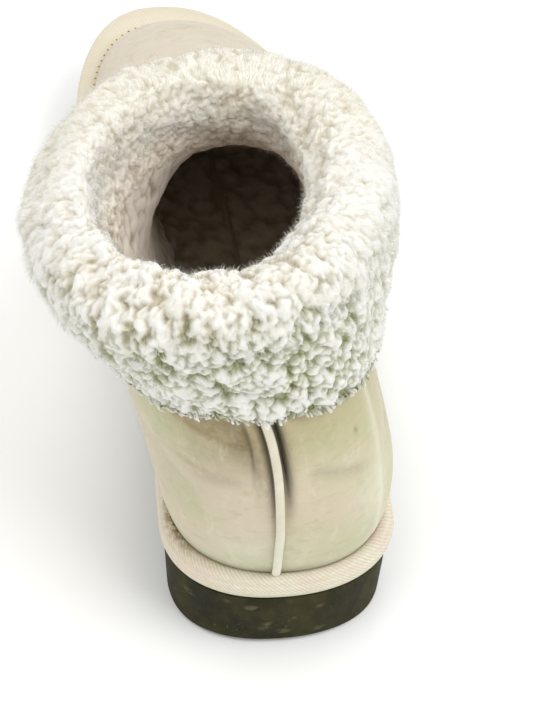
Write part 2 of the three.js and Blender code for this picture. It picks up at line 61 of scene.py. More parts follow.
class Slot(Enum):
    """Material slots of the record that the pieces take their finish from."""

    FOAM = "outsole_foam"
    BAND = "band_suede"
    SUEDE = "upper_suede"
    FLEECE = "fleece"


# Sizes of the last, in millimetres.


def smooth(places: Sequence[float], values: Sequence[float], at: np.ndarray) -> np.ndarray:
    """Reads a column of a table smoothly and without overshoot.

    Args:
        places: where the rows stand, rising.
        values: the column's value in each row.
        at: the places to read.

    Returns:
        The column's values there.
    """
    places, values = np.asarray(places, float), np.asarray(values, float)
    run = np.diff(places)
    rise = np.diff(values) / run
    total = rise[:-1] + rise[1:]
    same = rise[:-1] * rise[1:] > 0
    inner = np.where(same, 2 * rise[:-1] * rise[1:] / np.where(same, total, 1), 0)
    slope = np.concatenate([rise[:1], inner, rise[-1:]])
    at = np.clip(at, places[0], places[-1])
    row = np.clip(np.searchsorted(places, at, side="right") - 1, 0, len(run) - 1)
    t = (at - places[row]) / run[row]
    left = (1 + 2 * t) * (1 - t) ** 2 * values[row] + t * (1 - t) ** 2 * run[row] * slope[row]
    right = t * t * (3 - 2 * t) * values[row + 1] - t * t * (1 - t) * run[row] * slope[row + 1]
    return left + right


def mix(first: np.ndarray, second: np.ndarray, share: np.ndarray) -> np.ndarray:
    """Goes from one value to another by a share."""
    return first + (second - first) * share


def ease(low: float, high: float, value: np.ndarray) -> np.ndarray:
    """Rises softly from 0 at low to 1 at high."""
    t = np.clip((value - low) / (high - low), 0, 1)
    return t * t * (3 - 2 * t)


class Table:
    """A short table with named columns, read smoothly between its rows."""

    def __init__(self, names: str, rows: Sequence[Sequence[float]]) -> None:
        """Keeps the rows; the first column is the place where each row stands."""
        self.columns = dict(zip(names.split(), zip(*rows)))
        self.places = next(iter(self.columns.values()))

    def read(self, name: str, at: np.ndarray) -> np.ndarray:
        """Reads one column at some places."""
        return smooth(self.places, self.columns[name], at)


OUTLINE = Table("at heel ball middle", [
    (0, 1, 0, 0.13), (0.08, 1, 0, 0.13), (0.16, 1, 0, 0.13), (0.35, 0.8, 0.12, 0.19),
    (0.5, 0.35, 0.5, 0.09), (0.7, 0, 0.995, -0.22), (0.85, 0, 0.955, -0.57), (1, 0, 0.895, -1),
])
SOLE_PROFILE = Table("at heel ball bevel arch spring lift", [
    (0, 1, 0, 1, 0, 0, 0), (0.05, 1, 0, 0, 0, 0, 0), (0.16, 0.99, 0, 0, 0, 0, 0),
    (0.32, 0.6, 0.4, 0, 0, 0, 0), (0.42, 0.25, 0.77, 0, 1, 0, 0), (0.52, 0.04, 0.97, 0, 0, 0, 0),
    (0.74, 0, 1, 0, 0, 0, 0.03), (0.87, 0, 0.96, 0, 0, 0.3, 0.4), (1, 0, 0.86, 0, 0, 1, 0.95),
])
UPPER_SPANS = Table("place back front back_rise front_rise heel_cap toe_cap power", [
    (0, 0.022, 0.962, 0, 0, 0.11, 0.31, 2.3),
    (0.1, 0.01, 0.956, 0.078, 0.078, 0.12, 0.32, 2.3),
    (0.2, -0.002, 0.935, 0.17, 0.155, 0.14, 0.34, 2.25),
    (0.3, -0.004, 0.885, 0.262, 0.24, 0.165, 0.39, 2.15),
    (0.4, 0, 0.798, 0.355, 0.325, 0.2, 0.43, 2.05),
    (0.5, 0.008, 0.682, 0.452, 0.42, 0.25, 0.46, 2),
    (0.6, 0.016, 0.578, 0.56, 0.53, 0.32, 0.49, 2),
    (0.7, 0.023, 0.495, 0.675, 0.65, 0.4, 0.49, 2.05),
    (0.8, 0.03, 0.44, 0.79, 0.76, 0.45, 0.48, 2.15),
    (0.9, 0.036, 0.416, 0.9, 0.85, 0.48, 0.48, 2.25),
    (1, 0.04, 0.408, 1, 0.935, 0.5, 0.48, 2.25),
])
UPPER_WIDTHS = Table("place heel mid ball follow lean held", [
    (0, 0.66, 0.6, 0.83, 1, 0, 0), (0.1, 0.72, 0.68, 0.9, 1, 0.01, 0),
    (0.2, 0.78, 0.76, 0.935, 0.85, 0.05, 0), (0.3, 0.81, 0.8, 0.905, 0.6, 0.12, 0),
    (0.4, 0.82, 0.825, 0.85, 0.35, 0.2, 0.02), (0.5, 0.83, 0.84, 0.81, 0.15, 0.28, 0.06),
    (0.6, 0.83, 0.85, 0.79, 0.05, 0.36, 0.13), (0.7, 0.83, 0.86, 0.8, 0, 0.46, 0.26),
    (0.8, 0.83, 0.875, 0.82, 0, 0.6, 0.45), (0.9, 0.83, 0.885, 0.84, 0, 0.75, 0.68),
    (1, 0.83, 0.885, 0.85, 0, 0.88, 0.86),
])


@dataclass(frozen=True)
class Last:
    """The last's named sizes in millimetres; x goes to the outer side, s forward, z up."""

    length: float = 272
    ball_width: float = 90
    heel_width: float = 68
    toe_swing: float = 18
    heel_thickness: float = 22.8
    ball_thickness: float = 18
    collar_rise: float = 112
    shaft_lean: float = 21
    collar_turn: float = 0.15
    toe_spring: float = 9
    heel_bevel: float = 1.6
    arch_lift: float = 1.6
    gap: float = 0.35
    heel_cap: float = 0.41
    heel_power: float = 2.22
    toe_cap: float = 0.94
    toe_power: float = 2.3
    held_reach: float = 0.3
    stations: tuple[float, ...] = (0.18, 0.5, 0.78)

    def middle(self, at: np.ndarray) -> np.ndarray:
        """Tells how far the sole's middle swings sideways."""
        return OUTLINE.read("middle", at) * self.toe_swing

    def half(self, at: np.ndarray) -> np.ndarray:
        """Tells half the sole's width."""
        heel, ball = OUTLINE.read("heel", at) * self.heel_width, OUTLINE.read("ball", at) * self.ball_width
        return (heel + ball) / 2

    def top(self, at: np.ndarray) -> np.ndarray:
        """Tells the height of the sole's upper face.

        Args:
            at: shares of the sole's length.

        Returns:
            The heights.
        """
        heel = SOLE_PROFILE.read("heel", at) * self.heel_thickness
        ball = SOLE_PROFILE.read("ball", at) * self.ball_thickness
        return heel + ball + SOLE_PROFILE.read("lift", at) * self.toe_spring

    def under(self, at: np.ndarray) -> np.ndarray:
        """Tells the height of the sole's underside.

        Args:
            at: shares of the sole's length.

        Returns:
            The heights.
        """
        bevel = SOLE_PROFILE.read("bevel", at) * self.heel_bevel
        arch = SOLE_PROFILE.read("arch", at) * self.arch_lift
        return bevel + arch + SOLE_PROFILE.read("spring", at) * self.toe_spring

    @staticmethod
    def round_end(distance: np.ndarray, cap: np.ndarray, power: np.ndarray) -> np.ndarray:
        """Closes an outline roundly towards its end."""
        left = np.clip(1 - distance / cap, 0, 1)
        return (1 - left ** power) ** (1 / power)

    def outline(self, grow: float, share: np.ndarray, side: np.ndarray) -> tuple[np.ndarray, ...]:
        """Walks the sole's outline.

        Args:
            grow: how far outside the sole's own outline to walk.
            share: the place along the foot, 0 at the heel and 1 at the toe.
            side: 1 on the outer side and -1 on the inner side.

        Returns:
            The points' x and s, and the share of the sole's length.
        """
        along = share * (self.length + 2 * grow) - grow
        at = np.clip(along / self.length, 0, 1)
        heel = self.round_end(along + grow, self.heel_cap * self.heel_width + grow, self.heel_power)
        left = self.length + grow - along
        toe = self.round_end(left, self.toe_cap * self.ball_width + grow, self.toe_power)
        half = (self.half(at) + grow) * heel * toe
        return self.middle(at) * heel + side * half, along, at

    def outline_loop(self, grow: float, height: Rule, count: int) -> np.ndarray:
        """Gives evenly spread points of a closed ring round the sole.

        Args:
            grow: how far outside the sole's own outline to walk.
            height: the rule for the ring's height.
            count: how many points.

        Returns:
            The points, from the heel round by the outer side.
        """
        share, side = round_trip()
        x, s, at = self.outline(grow, share, side)
        return even_loop(np.stack([x, s, height(at)], 1), count)

    def upper_loop(self, place: float, count: int) -> np.ndarray:
        """Gives evenly spread points of the upper's outer face at one level.

        Args:
            place: the level, 0 at the feather edge and 1 at the collar.
            count: how many points.

        Returns:
            Points from the back seam, round by the outer side.
        """
        share, side = round_trip()
        row = {n: UPPER_SPANS.read(n, np.array([place]))[0] for n in UPPER_SPANS.columns}
        row |= {n: UPPER_WIDTHS.read(n, np.array([place]))[0] for n in UPPER_WIDTHS.columns}
        halves = smooth(self.stations, [row["heel"], row["mid"], row["ball"]], share) * self.ball_width / 2
        back = row["back"] * self.length
        length = row["front"] * self.length - back
        along = back + share * length
        at = np.clip(along / self.length, 0, 1)
        heel = self.round_end(share, row["heel_cap"], self.heel_power)
        toe = self.round_end(1 - share, row["toe_cap"], row["power"])
        rise = mix(row["back_rise"], row["front_rise"], share) * self.collar_rise
        seat = mix(self.heel_thickness, self.top(at), row["follow"]) + self.gap
        across = self.middle(at) * mix(1, row["follow"], np.clip(2 * place - 1, 0, 1))
        turned = self.collar_turn * (along - back - length / 2) - self.shaft_lean
        fade = (1 - np.cos(math.pi * np.clip(share / self.held_reach, 0, 1))) / 2
        x = across + mix(row["held"], row["lean"], fade) * turned + side * halves * heel * toe
        return even_loop(np.stack([x, along, seat + rise], 1), count)


def round_shares(steps: int) -> np.ndarray:
    """Gives shares from 0 to 1 that stand closer together at both ends."""
    return (1 - np.cos(np.linspace(0, math.pi, steps + 1))) / 2


def round_trip(steps: int = 500) -> tuple[np.ndarray, np.ndarray]:
    """Gives shares and sides of a trip round the foot, from the heel by the outer side.

    Args:
        steps: how many steps each side has.

    Returns:
        The shares of the length, and 1 on the outer side and -1 on the inner one.
    """
    share = round_shares(steps)
    side = np.concatenate([np.ones(steps + 1), -np.ones(steps - 1)])
    return np.concatenate([share, share[-2:0:-1]]), side


def turns(count: int) -> np.ndarray:
    """Gives equal shares of one turn."""
    return np.arange(count) / count


def even_loop(points: np.ndarray, count: int) -> np.ndarray:
    """Spreads a closed loop's points evenly by length.

    Args:
        points: the loop's points in order.
        count: how many points to give.

    Returns:
        The even points.
    """
    closed = np.vstack([points, points[:1]])
    walked = walked_along(steps_between(closed))
    goal = turns(count) * walked[-1]
    return np.stack([np.interp(goal, walked, closed[:, i]) for i in range(3)], 1)


LAST = Last()
SOLE_LOW, SOLE_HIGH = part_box("outsole")
OUTER_SHARES = round_shares(2000)
SEAM_X = SOLE_LOW.x / MM + float(LAST.outline(0, OUTER_SHARES, np.ones(OUTER_SHARES.size))[0].max())
HEEL_Y = SOLE_HIGH.y / MM


def in_row(points: np.ndarray) -> np.ndarray:
    """Turns the last's millimetres into the row frame's metres."""
    return np.stack([SEAM_X - points[..., 0], HEEL_Y - points[..., 1], points[..., 2]], -1) * MM


def unit(vectors: np.ndarray) -> np.ndarray:
    """Brings vectors to the length 1."""
    return vectors / np.linalg.norm(vectors, axis=-1, keepdims=True)


def steps_between(points: np.ndarray) -> np.ndarray:
    """Measures the steps from ring to ring, or from point to point."""
    return np.linalg.norm(np.diff(points, axis=0), axis=-1)


def steps_around(grid: np.ndarray) -> np.ndarray:
    """Measures the steps round each ring of a grid."""
    return np.linalg.norm(np.roll(grid, -1, -2) - grid, axis=-1)


def walked_along(steps: np.ndarray) -> np.ndarray:
    """Adds up steps from 0 on."""
    return np.concatenate([[0], np.cumsum(steps)])


def normals_of(grid: np.ndarray) -> np.ndarray:
    """Gives unit normals of a grid whose columns close on themselves, facing out.

    Args:
        grid: the grid's points, ring by ring.

    Returns:
        One normal for each point.
    """
    around = np.roll(grid, -1, 1) - np.roll(grid, 1, 1)
    upward = np.gradient(grid, axis=0)
    cross = np.cross(around, upward)
    return cross / np.maximum(np.linalg.norm(cross, axis=-1, keepdims=True), 1e-9)


def through(rows: np.ndarray, at: np.ndarray) -> np.ndarray:
    """Runs a smooth curve through rows of points.

    Args:
        rows: the rows that it passes.
        at: where to read it, from 0 to the last row's number.

    Returns:
        One row of points for each place.
    """
    ends = np.concatenate([2 * rows[:1] - rows[1:2], rows, 2 * rows[-1:] - rows[-2:-1]])
    k = np.clip(np.floor(at).astype(int), 0, len(rows) - 2)
    t = (at - k).reshape(-1, *([1] * (rows.ndim - 1)))
    a, b, c, d = (ends[k + i] for i in range(4))
    square, cube = 2 * a - 5 * b + 4 * c - d, 3 * b - a - 3 * c + d
    return 0.5 * (2 * b + (c - a) * t + square * t ** 2 + cube * t ** 3)


class Wall:
    """The upper's outer face, read at any depth and any share of the way round."""

    levels: int = 241
    around: int = 480

    def __init__(self) -> None:
        """Lays out the face as a fine grid."""
        self.places = np.linspace(0, 1, self.levels)
        self.grid = np.stack([LAST.upper_loop(place, self.around) for place in self.places])
        self.normals = normals_of(self.grid)
        self.back_rise = UPPER_SPANS.read("back_rise", self.places)

    def place_at_depth(self, depth: np.ndarray) -> np.ndarray:
        """Turns a depth under the collar's rim at the back into a place on the face."""
        return np.interp(1 - depth / LAST.collar_rise, self.back_rise, self.places)

    def read(self, place: np.ndarray, turn: np.ndarray) -> tuple[np.ndarray, np.ndarray]:
        """Reads points and normals.

        Args:
            place: levels from 0 to 1.
            turn: shares of the way round from the back seam, by the outer side.

        Returns:
            The points in millimetres and the unit normals.
        """
        place, turn = np.broadcast_arrays(place, turn)
        p = np.clip(place, 0, 1) * (self.levels - 1)
        i = np.clip(np.floor(p).astype(int), 0, self.levels - 2)
        u = (turn % 1) * self.around
        j = np.floor(u).astype(int)
        a, b = (p - i)[..., None], (u - j)[..., None]
        out = []
        for grid in (self.grid, self.normals):
            low = mix(grid[i, j % self.around], grid[i, (j + 1) % self.around], b)
            high = mix(grid[i + 1, j % self.around], grid[i + 1, (j + 1) % self.around], b)
            out.append(mix(low, high, a))
        return out[0], unit(out[1])


# Meshes.


def shown(name: str, data: bpy.types.ID) -> bpy.types.Object:
    """Puts a new object into the scene.

    Args:
        name: the object's name.
        data: its mesh, camera or lamp.

    Returns:
        The object.
    """
    made = bpy.data.objects.new(name, data)
    bpy.context.scene.collection.objects.link(made)
    return made


def bare_mesh(name: str, points: np.ndarray, faces: list, edges: Sequence = (),
              soft: bool = True) -> bpy.types.Mesh:
    """Makes a mesh.

    Args:
        name: its name.
        points: its points in metres.
        faces: its faces.
        edges: its edges, where it has no faces.
        soft: whether its faces are shaded smooth.

    Returns:
        The mesh.
    """
    mesh = bpy.data.meshes.new(name)
    mesh.from_pydata(points.tolist(), edges, faces)
    mesh.polygons.foreach_set("use_smooth", np.full(len(mesh.polygons), soft))
    return mesh


def mark(mesh: bpy.types.Mesh, name: str, values: np.ndarray) -> None:
    """Lets each point of a mesh carry a number or a vector.

    Args:
        mesh: the mesh.
        name: what the values are called there.
        values: one row for each point.
    """
    kind, part = ("FLOAT", "value") if values.ndim == 1 else ("FLOAT_VECTOR", "vector")
    mesh.attributes.new(name, kind, "POINT").data.foreach_set(part, values.astype(np.float32).ravel())


@dataclass
class Piece:
    """A mesh in the making: points in the last's millimetres, faces and what each point carries.

    The UV map repeats after each lap. The edges between the points of a sharp range are shaded hard.
    """

    name: str
    points: np.ndarray
    faces: list
    marks: dict[str, np.ndarray] = field(default_factory=dict)
    uv: np.ndarray | None = None
    lap: float = 0
    sharp: Sequence[range] = ()

    def build(self, material: bpy.types.Material | None = None) -> bpy.types.Object:
        """Makes the Blender object, smooth and in the row frame.

        Args:
            material: the finish that the piece takes.

        Returns:
            The object, whose mesh is in place.
        """
        mesh = bare_mesh(self.name, in_row(self.points), self.faces)
        for name, values in self.marks.items():
            mark(mesh, name, values)
        if self.uv is not None:
            self.unfold(mesh)
        mesh.validate(clean_customdata=False)
        if self.sharp:
            self.harden(mesh)
        if material:
            mesh.materials.append(material)
        return shown(self.name, mesh)

    def unfold(self, mesh: bpy.types.Mesh) -> None:
        """Gives the mesh its UV map, which goes on past the last column of a closed grid.

        Args:
            mesh: the mesh of the piece.
        """
        corner = np.zeros(len(mesh.loops), np.int32)
        mesh.loops.foreach_get("vertex_index", corner)
        spread = self.uv[corner]
        if self.lap:
            quads = spread.reshape(-1, 4, 2)
            over = (quads[..., 0].max(1) - quads[..., 0].min(1) > self.lap / 2)[:, None]
            quads[..., 0] += self.lap * (over & (quads[..., 0] < self.lap / 2))
        mesh.uv_layers.new(name="UVMap").data.foreach_set("uv", spread.astype(np.float32).ravel())

    def harden(self, mesh: bpy.types.Mesh) -> None:
        """Marks the sharp edges.

        Args:
            mesh: the mesh of the piece.
        """
        ends = np.zeros(len(mesh.edges) * 2, np.int32)
        mesh.edges.foreach_get("vertices", ends)
        ends = ends.reshape(-1, 2)
        split = [np.all((ends >= run.start) & (ends < run.stop), 1) for run in self.sharp]
        mesh.attributes.new("sharp_edge", "BOOLEAN", "EDGE").data.foreach_set("value", np.any(split, 0))


def grid_faces(rows: int, columns: int, closed_rows: bool = False) -> list:
    """Lists the quads of a grid whose columns close on themselves.

    Args:
        rows: how many rings.
        columns: how many points in each ring.
        closed_rows: whether the last ring joins the first.

    Returns:
        The quads, facing out where the rings rise.
    """
    lower = np.arange(rows if closed_rows else rows - 1)
    i, j = np.meshgrid(lower, np.arange(columns), indexing="ij")
    k, m = (i + 1) % rows, (j + 1) % columns
    quads = np.stack([i * columns + j, i * columns + m, k * columns + m, k * columns + j], -1)
    return quads.reshape(-1, 4).tolist()


def dress(piece: bpy.types.Object, slot: Slot, *nodes: str) -> bpy.types.Object:
    """Hangs a finished piece on the body, drops its helper marks and hides the CAD nodes that it replaces.

    Args:
        piece: the finished object.
        slot: the record's material slot; not used.
        nodes: the CAD nodes that it replaces.

    Returns:
        The same object.
    """
    for helper in GROWTH_MARKS:
        if helper in piece.data.attributes:
            piece.data.attributes.remove(piece.data.attributes[helper])
    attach(piece, BODY)
    if nodes:
        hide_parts(*nodes)
    LOG.info("%s: %d faces", piece.name, len(piece.data.polygons))
    return piece


# Node trees.


class Wire:
    """A socket on which Python's operators add Math nodes."""

    def __init__(self, maker: "Maker", socket: bpy.types.NodeSocket) -> None:
        """Keeps the socket and the maker of its tree."""
        self.maker = maker
        self.socket = socket

    def math(self, operation: str, *values: object) -> "Wire":
        """Adds one Math node on values in their order."""
        node = self.maker.node("ShaderNodeMath", {"operation": operation}, dict(enumerate(values)))
        return Wire(self.maker, node.outputs[0])

    def __add__(self, other: object) -> "Wire":
        """Adds."""
        return self.math("ADD", self, other)

    __radd__ = __add__

    def __sub__(self, other: object) -> "Wire":
        """Takes away."""
        return self.math("SUBTRACT", self, other)

    def __rsub__(self, other: object) -> "Wire":
        """Is taken away."""
        return self.math("SUBTRACT", other, self)

    def __mul__(self, other: object) -> "Wire":
        """Multiplies."""
        return self.math("MULTIPLY", self, other)

    __rmul__ = __mul__

    def least(self, other: object) -> "Wire":
        """Takes the smaller of two."""
        return self.math("MINIMUM", self, other)

    def sine(self) -> "Wire":
        """Takes the sine."""
        return self.math("SINE", self)


class Maker:
    """Adds nodes to one tree."""

    def __init__(self, tree: bpy.types.NodeTree) -> None:
        """Keeps the tree."""
        self.tree = tree

    def node(self, kind: str, settings: dict | None = None, sockets: dict | None = None) -> bpy.types.Node:
        """Adds any node.

        Args:
            kind: the node's type.
            settings: what is set on the node itself, first.
            sockets: values or wires for its input sockets, by name or number.

        Returns:
            The node.
        """
        made = self.tree.nodes.new(kind)
        for name, value in (settings or {}).items():
            setattr(made, name, value)
        for name, value in (sockets or {}).items():
            if isinstance(value, Wire):
                self.tree.links.new(value.socket, made.inputs[name])
            else:
                made.inputs[name].default_value = value
        return made

    def wire(self, kind: str, settings: dict | None = None, sockets: dict | None = None,
             output: int | str = 0) -> Wire:
        """Adds any node and gives one of its outputs."""
        return Wire(self, self.node(kind, settings, sockets).outputs[output])


def srgb(red: float, green: float, blue: float) -> tuple[float, float, float, float]:
    """Turns a colour as seen on a screen, 0 to 255, into a shader's colour."""
    return (*(((c / 255 + 0.055) / 1.055) ** 2.4 if c > 10 else c / 3295 for c in (red, green, blue)), 1)


class Paint(Maker):
    """Builds one procedural material."""

    def __init__(self, name: str) -> None:
        """Starts a material and empties its tree.

        Args:
            name: the material's name.
        """
        self.material = bpy.data.materials.new(name)
        self.material.use_nodes = True
        super().__init__(self.material.node_tree)
        self.tree.nodes.clear()
        self.object = self.wire("ShaderNodeTexCoord", output="Object")
        self.uv = self.wire("ShaderNodeTexCoord", output="UV")

    def scaled(self, where: Wire, scale: tuple[float, float, float], turn: float = 0) -> Wire:
        """Stretches and turns coordinates."""
        return self.wire("ShaderNodeMapping", None, {0: where, 2: (0, 0, turn), 3: scale})

    def noise(self, where: Wire, scale: float, detail: float = 3, rough: float = 0.5,
              bend: float = 0) -> Wire:
        """Adds soft noise, scale in waves a metre on Object coordinates."""
        return self.wire("ShaderNodeTexNoise", None, {
            "Vector": where, "Scale": scale, "Detail": detail, "Roughness": rough, "Distortion": bend,
        })

    def cells(self, where: Wire, scale: float) -> Wire:
        """Adds cells and gives the distance to the nearest middle."""
        return self.wire("ShaderNodeTexVoronoi", None, {"Vector": where, "Scale": scale}, "Distance")

    def carried(self, name: str) -> Wire:
        """Reads a value that the mesh's points carry."""
        return self.wire("ShaderNodeAttribute", {"attribute_name": name}, None, "Fac")

    def between(self, value: Wire, low: float, high: float, start: float = 0, end: float = 1) -> Wire:
        """Rises softly from start to end as the value goes from low to high."""
        sockets = {0: value, 1: low, 2: high, 3: start, 4: end}
        return self.wire("ShaderNodeMapRange", {"interpolation_type": "SMOOTHSTEP"}, sockets)

    def blend(self, share: Wire, first: object, second: object) -> Wire:
        """Goes from the first colour to the second by a share."""
        settings = {"data_type": "RGBA", "clamp_factor": True}
        return self.wire("ShaderNodeMix", settings, {0: share, 6: first, 7: second}, 2)

    def raised(self, height: Wire, strength: float, depth: float) -> Wire:
        """Turns a height into a bumped normal, depth in metres."""
        sockets = {"Height": height, "Strength": strength, "Distance": depth}
        return self.wire("ShaderNodeBump", None, sockets)

    def finish(self, **sockets: object) -> bpy.types.Material:
        """Ends the material in its shader.

        Args:
            sockets: the shader's sockets, with an underscore for a space.

        Returns:
            The material.
        """
        named = {name.replace("_", " "): value for name, value in sockets.items()}
        shader = self.wire("ShaderNodeBsdfPrincipled", None, named)
        self.node("ShaderNodeOutputMaterial", None, {"Surface": shader})
        return self.material


# Finishes.


@dataclass(frozen=True)
class MouldedFoam:
    """Dark olive foam rubber with flecks and nicks."""

    dark: tuple = srgb(31, 29, 10)
    worn: tuple = srgb(68, 65, 37)
    fleck: tuple = srgb(132, 130, 96)

    def material(self) -> bpy.types.Material:
        """Builds the material."""
        p = Paint("outsole_foam")
        cloud = p.between(p.noise(p.object, 60, 4, 0.6), 0.35, 0.7)
        streak = p.between(p.noise(p.scaled(p.object, (1, 1, 0.6)), 170, 4, 0.7), 0.36, 0.68)
        colour = p.blend(cloud * 0.45 + streak * 0.35, self.dark, self.worn)
        speck = p.between(p.cells(p.object, 420), 0.1, 0.2, 1, 0)
        some = p.between(p.noise(p.object, 90, 2), 0.52, 0.66)
        colour = p.blend(speck * some * 0.35, colour, self.fleck)
        nick = p.between(p.cells(p.scaled(p.object, (1, 1, 1.9)), 60), 0.07, 0.19, 1, 0)
        torn = nick * p.between(p.noise(p.object, 240, 3), 0.4, 0.6)
        colour = p.blend(torn * 0.3, colour, self.fleck)
        skin = p.noise(p.object, 1500, 3, 0.6) * 0.35 + p.noise(p.object, 190, 3) * 0.5
        height = skin - torn * 1.4
        rough = p.between(cloud, 0, 1, 0.62, 0.8)
        normal = p.raised(height, 0.7, 0.0006)
        return p.finish(Base_Color=colour, Roughness=rough, Normal=normal, Specular_IOR_Level=0.15)


@dataclass(frozen=True)
class Suede:
    """Pale sand suede: soft green, pink and tan clouds, a fine nap, painted shade in creases and under the
    cuff.
    """

    name: str = "upper_suede"
    sand: tuple = srgb(198, 194, 164)
    moss: tuple = srgb(188, 187, 154)
    sage: tuple = srgb(178, 184, 140)
    rose: tuple = srgb(206, 192, 171)
    tan: tuple = srgb(168, 152, 112)
    brown: tuple = srgb(112, 92, 54)
    toe: tuple = srgb(208, 198, 181)
    # Colour of the painted shade in the folds' troughs.
    crease: tuple = srgb(52, 46, 24)
    seam: tuple = srgb(222, 220, 202)

    def material(self) -> bpy.types.Material:
        """Builds the material."""
        p = Paint(self.name)
        wide = p.noise(p.object, 24, 3, 0.55, 0.6)
        patch = p.noise(p.scaled(p.object, (1, 1, 1.4)), 52, 4, 0.6, 0.4)
        colour = p.blend(p.between(wide, 0.38, 0.62), self.moss, self.rose)
        colour = p.blend(p.between(patch, 0.42, 0.68) * 0.7, colour, self.sand)
        ragged = p.between(p.noise(p.object, 170, 4, 0.65, 0.4), 0.3, 0.62, 0.55, 1)
        laid = (("sage", self.sage), ("rose", self.rose), ("pale", self.seam), ("brown", self.brown),
                ("toe", self.toe))
        for patch_name, tint in laid:
            colour = p.blend(p.carried(patch_name) * ragged * 0.9, colour, tint)
        rubbed = p.noise(p.scaled(p.object, (1, 1, 2.6)), 130, 5, 0.65, 0.5)
        colour = p.blend(p.between(rubbed, 0.5, 0.74) * 0.36, colour, self.tan)
        light = p.between(p.noise(p.scaled(p.object, (1, 1, 0.5)), 210, 5, 0.7, 0.5), 0.5, 0.72)
        colour = p.blend(light * 0.3, colour, self.seam)
        nap = p.noise(p.object, 2400, 4, 0.7)
        colour = p.blend(p.between(nap, 0.35, 0.7, 0.14, 0), colour, self.tan)
        # Painted shade on the top of the upper, under the cuff's fringe.
        colour = p.blend(p.carried("shade") * 0.6, colour, self.tan)
        colour = p.blend(p.carried("seam"), colour, self.seam)
        # Painted shade in the folds' troughs, as strong as each fold's dark share.
        colour = p.blend(p.carried("crease"), colour, self.crease)
        height = nap * 0.5 + p.noise(p.object, 520, 3, 0.6) * 0.9 + rubbed * 0.8
        return p.finish(
            Base_Color=colour, Roughness=p.between(nap, 0.3, 0.7, 0.82, 0.95),
            Normal=p.raised(height, 0.45, 0.0004), Sheen_Weight=0.25, Sheen_Roughness=0.5,
            Specular_IOR_Level=0.25,
        )


@dataclass(frozen=True)
class WrappedBand:
    """Cream band with a fine slanting rib across it, painted shade in its grooves, rosy on top and pale
    green beneath.
    """

    name: str = "band_suede"
    cream: tuple = srgb(230, 226, 207)
    rose: tuple = srgb(230, 217, 201)
    mint: tuple = srgb(204, 214, 184)
    # Colour of the painted shade in the rib's grooves.
    groove: tuple = srgb(176, 160, 126)
    stain: tuple = srgb(150, 112, 66)
    toe: tuple = srgb(211, 202, 180)
    rib_mm: float = 1.45

    def material(self) -> bpy.types.Material:
        """Builds the material; its UV map is in millimetres, along and across the band."""
        p = Paint(self.name)
        wander = p.noise(p.object, 300, 2) * 0.9
        parts = p.node("ShaderNodeSeparateXYZ", None, {0: p.uv})
        along, across = Wire(p, parts.outputs[0]), Wire(p, parts.outputs[1])
        turn = 2 * math.pi / self.rib_mm
        slant = ((along + across * 1.3) * turn + wander * 2).sine()
        cross = (across * (turn * 0.62) + wander * 3).sine()
        weave = p.between(slant * 0.7 + cross * 0.3, -0.9, 0.9)
        cloud = p.noise(p.object, 70, 3, 0.6)
        colour = p.blend(p.between(cloud, 0.4, 0.65), self.cream, self.rose)
        colour = p.blend(p.carried("low"), colour, self.mint)
        dash = p.between(p.noise(p.scaled(p.uv, (0.55, 1.3, 1), 0.5), 1, 3, 0.6), 0.35, 0.62)
        woven = 1 - p.carried("plain") * 0.65
        colour = p.blend(p.carried("plain") * 0.8, colour, self.toe)
        # The rib's grooves are painted darker as shade, where the bump sinks.
        colour = p.blend((1 - weave * (dash * 0.6 + 0.4)) * woven * 0.42, colour, self.groove)
        marked = p.between(p.noise(p.object, 420, 3, 0.7), 0.4, 0.58)
        colour = p.blend(p.carried("stain") * (marked * 0.85 + 0.15), colour, self.stain)
        height = weave * (dash * 0.5 + 0.5) * woven + p.noise(p.object, 1800, 3, 0.6) * 0.3
        return p.finish(
            Base_Color=colour, Roughness=0.86, Normal=p.raised(height, 0.5, 0.00035),
            Sheen_Weight=0.15, Sheen_Roughness=0.5, Specular_IOR_Level=0.3,
        )


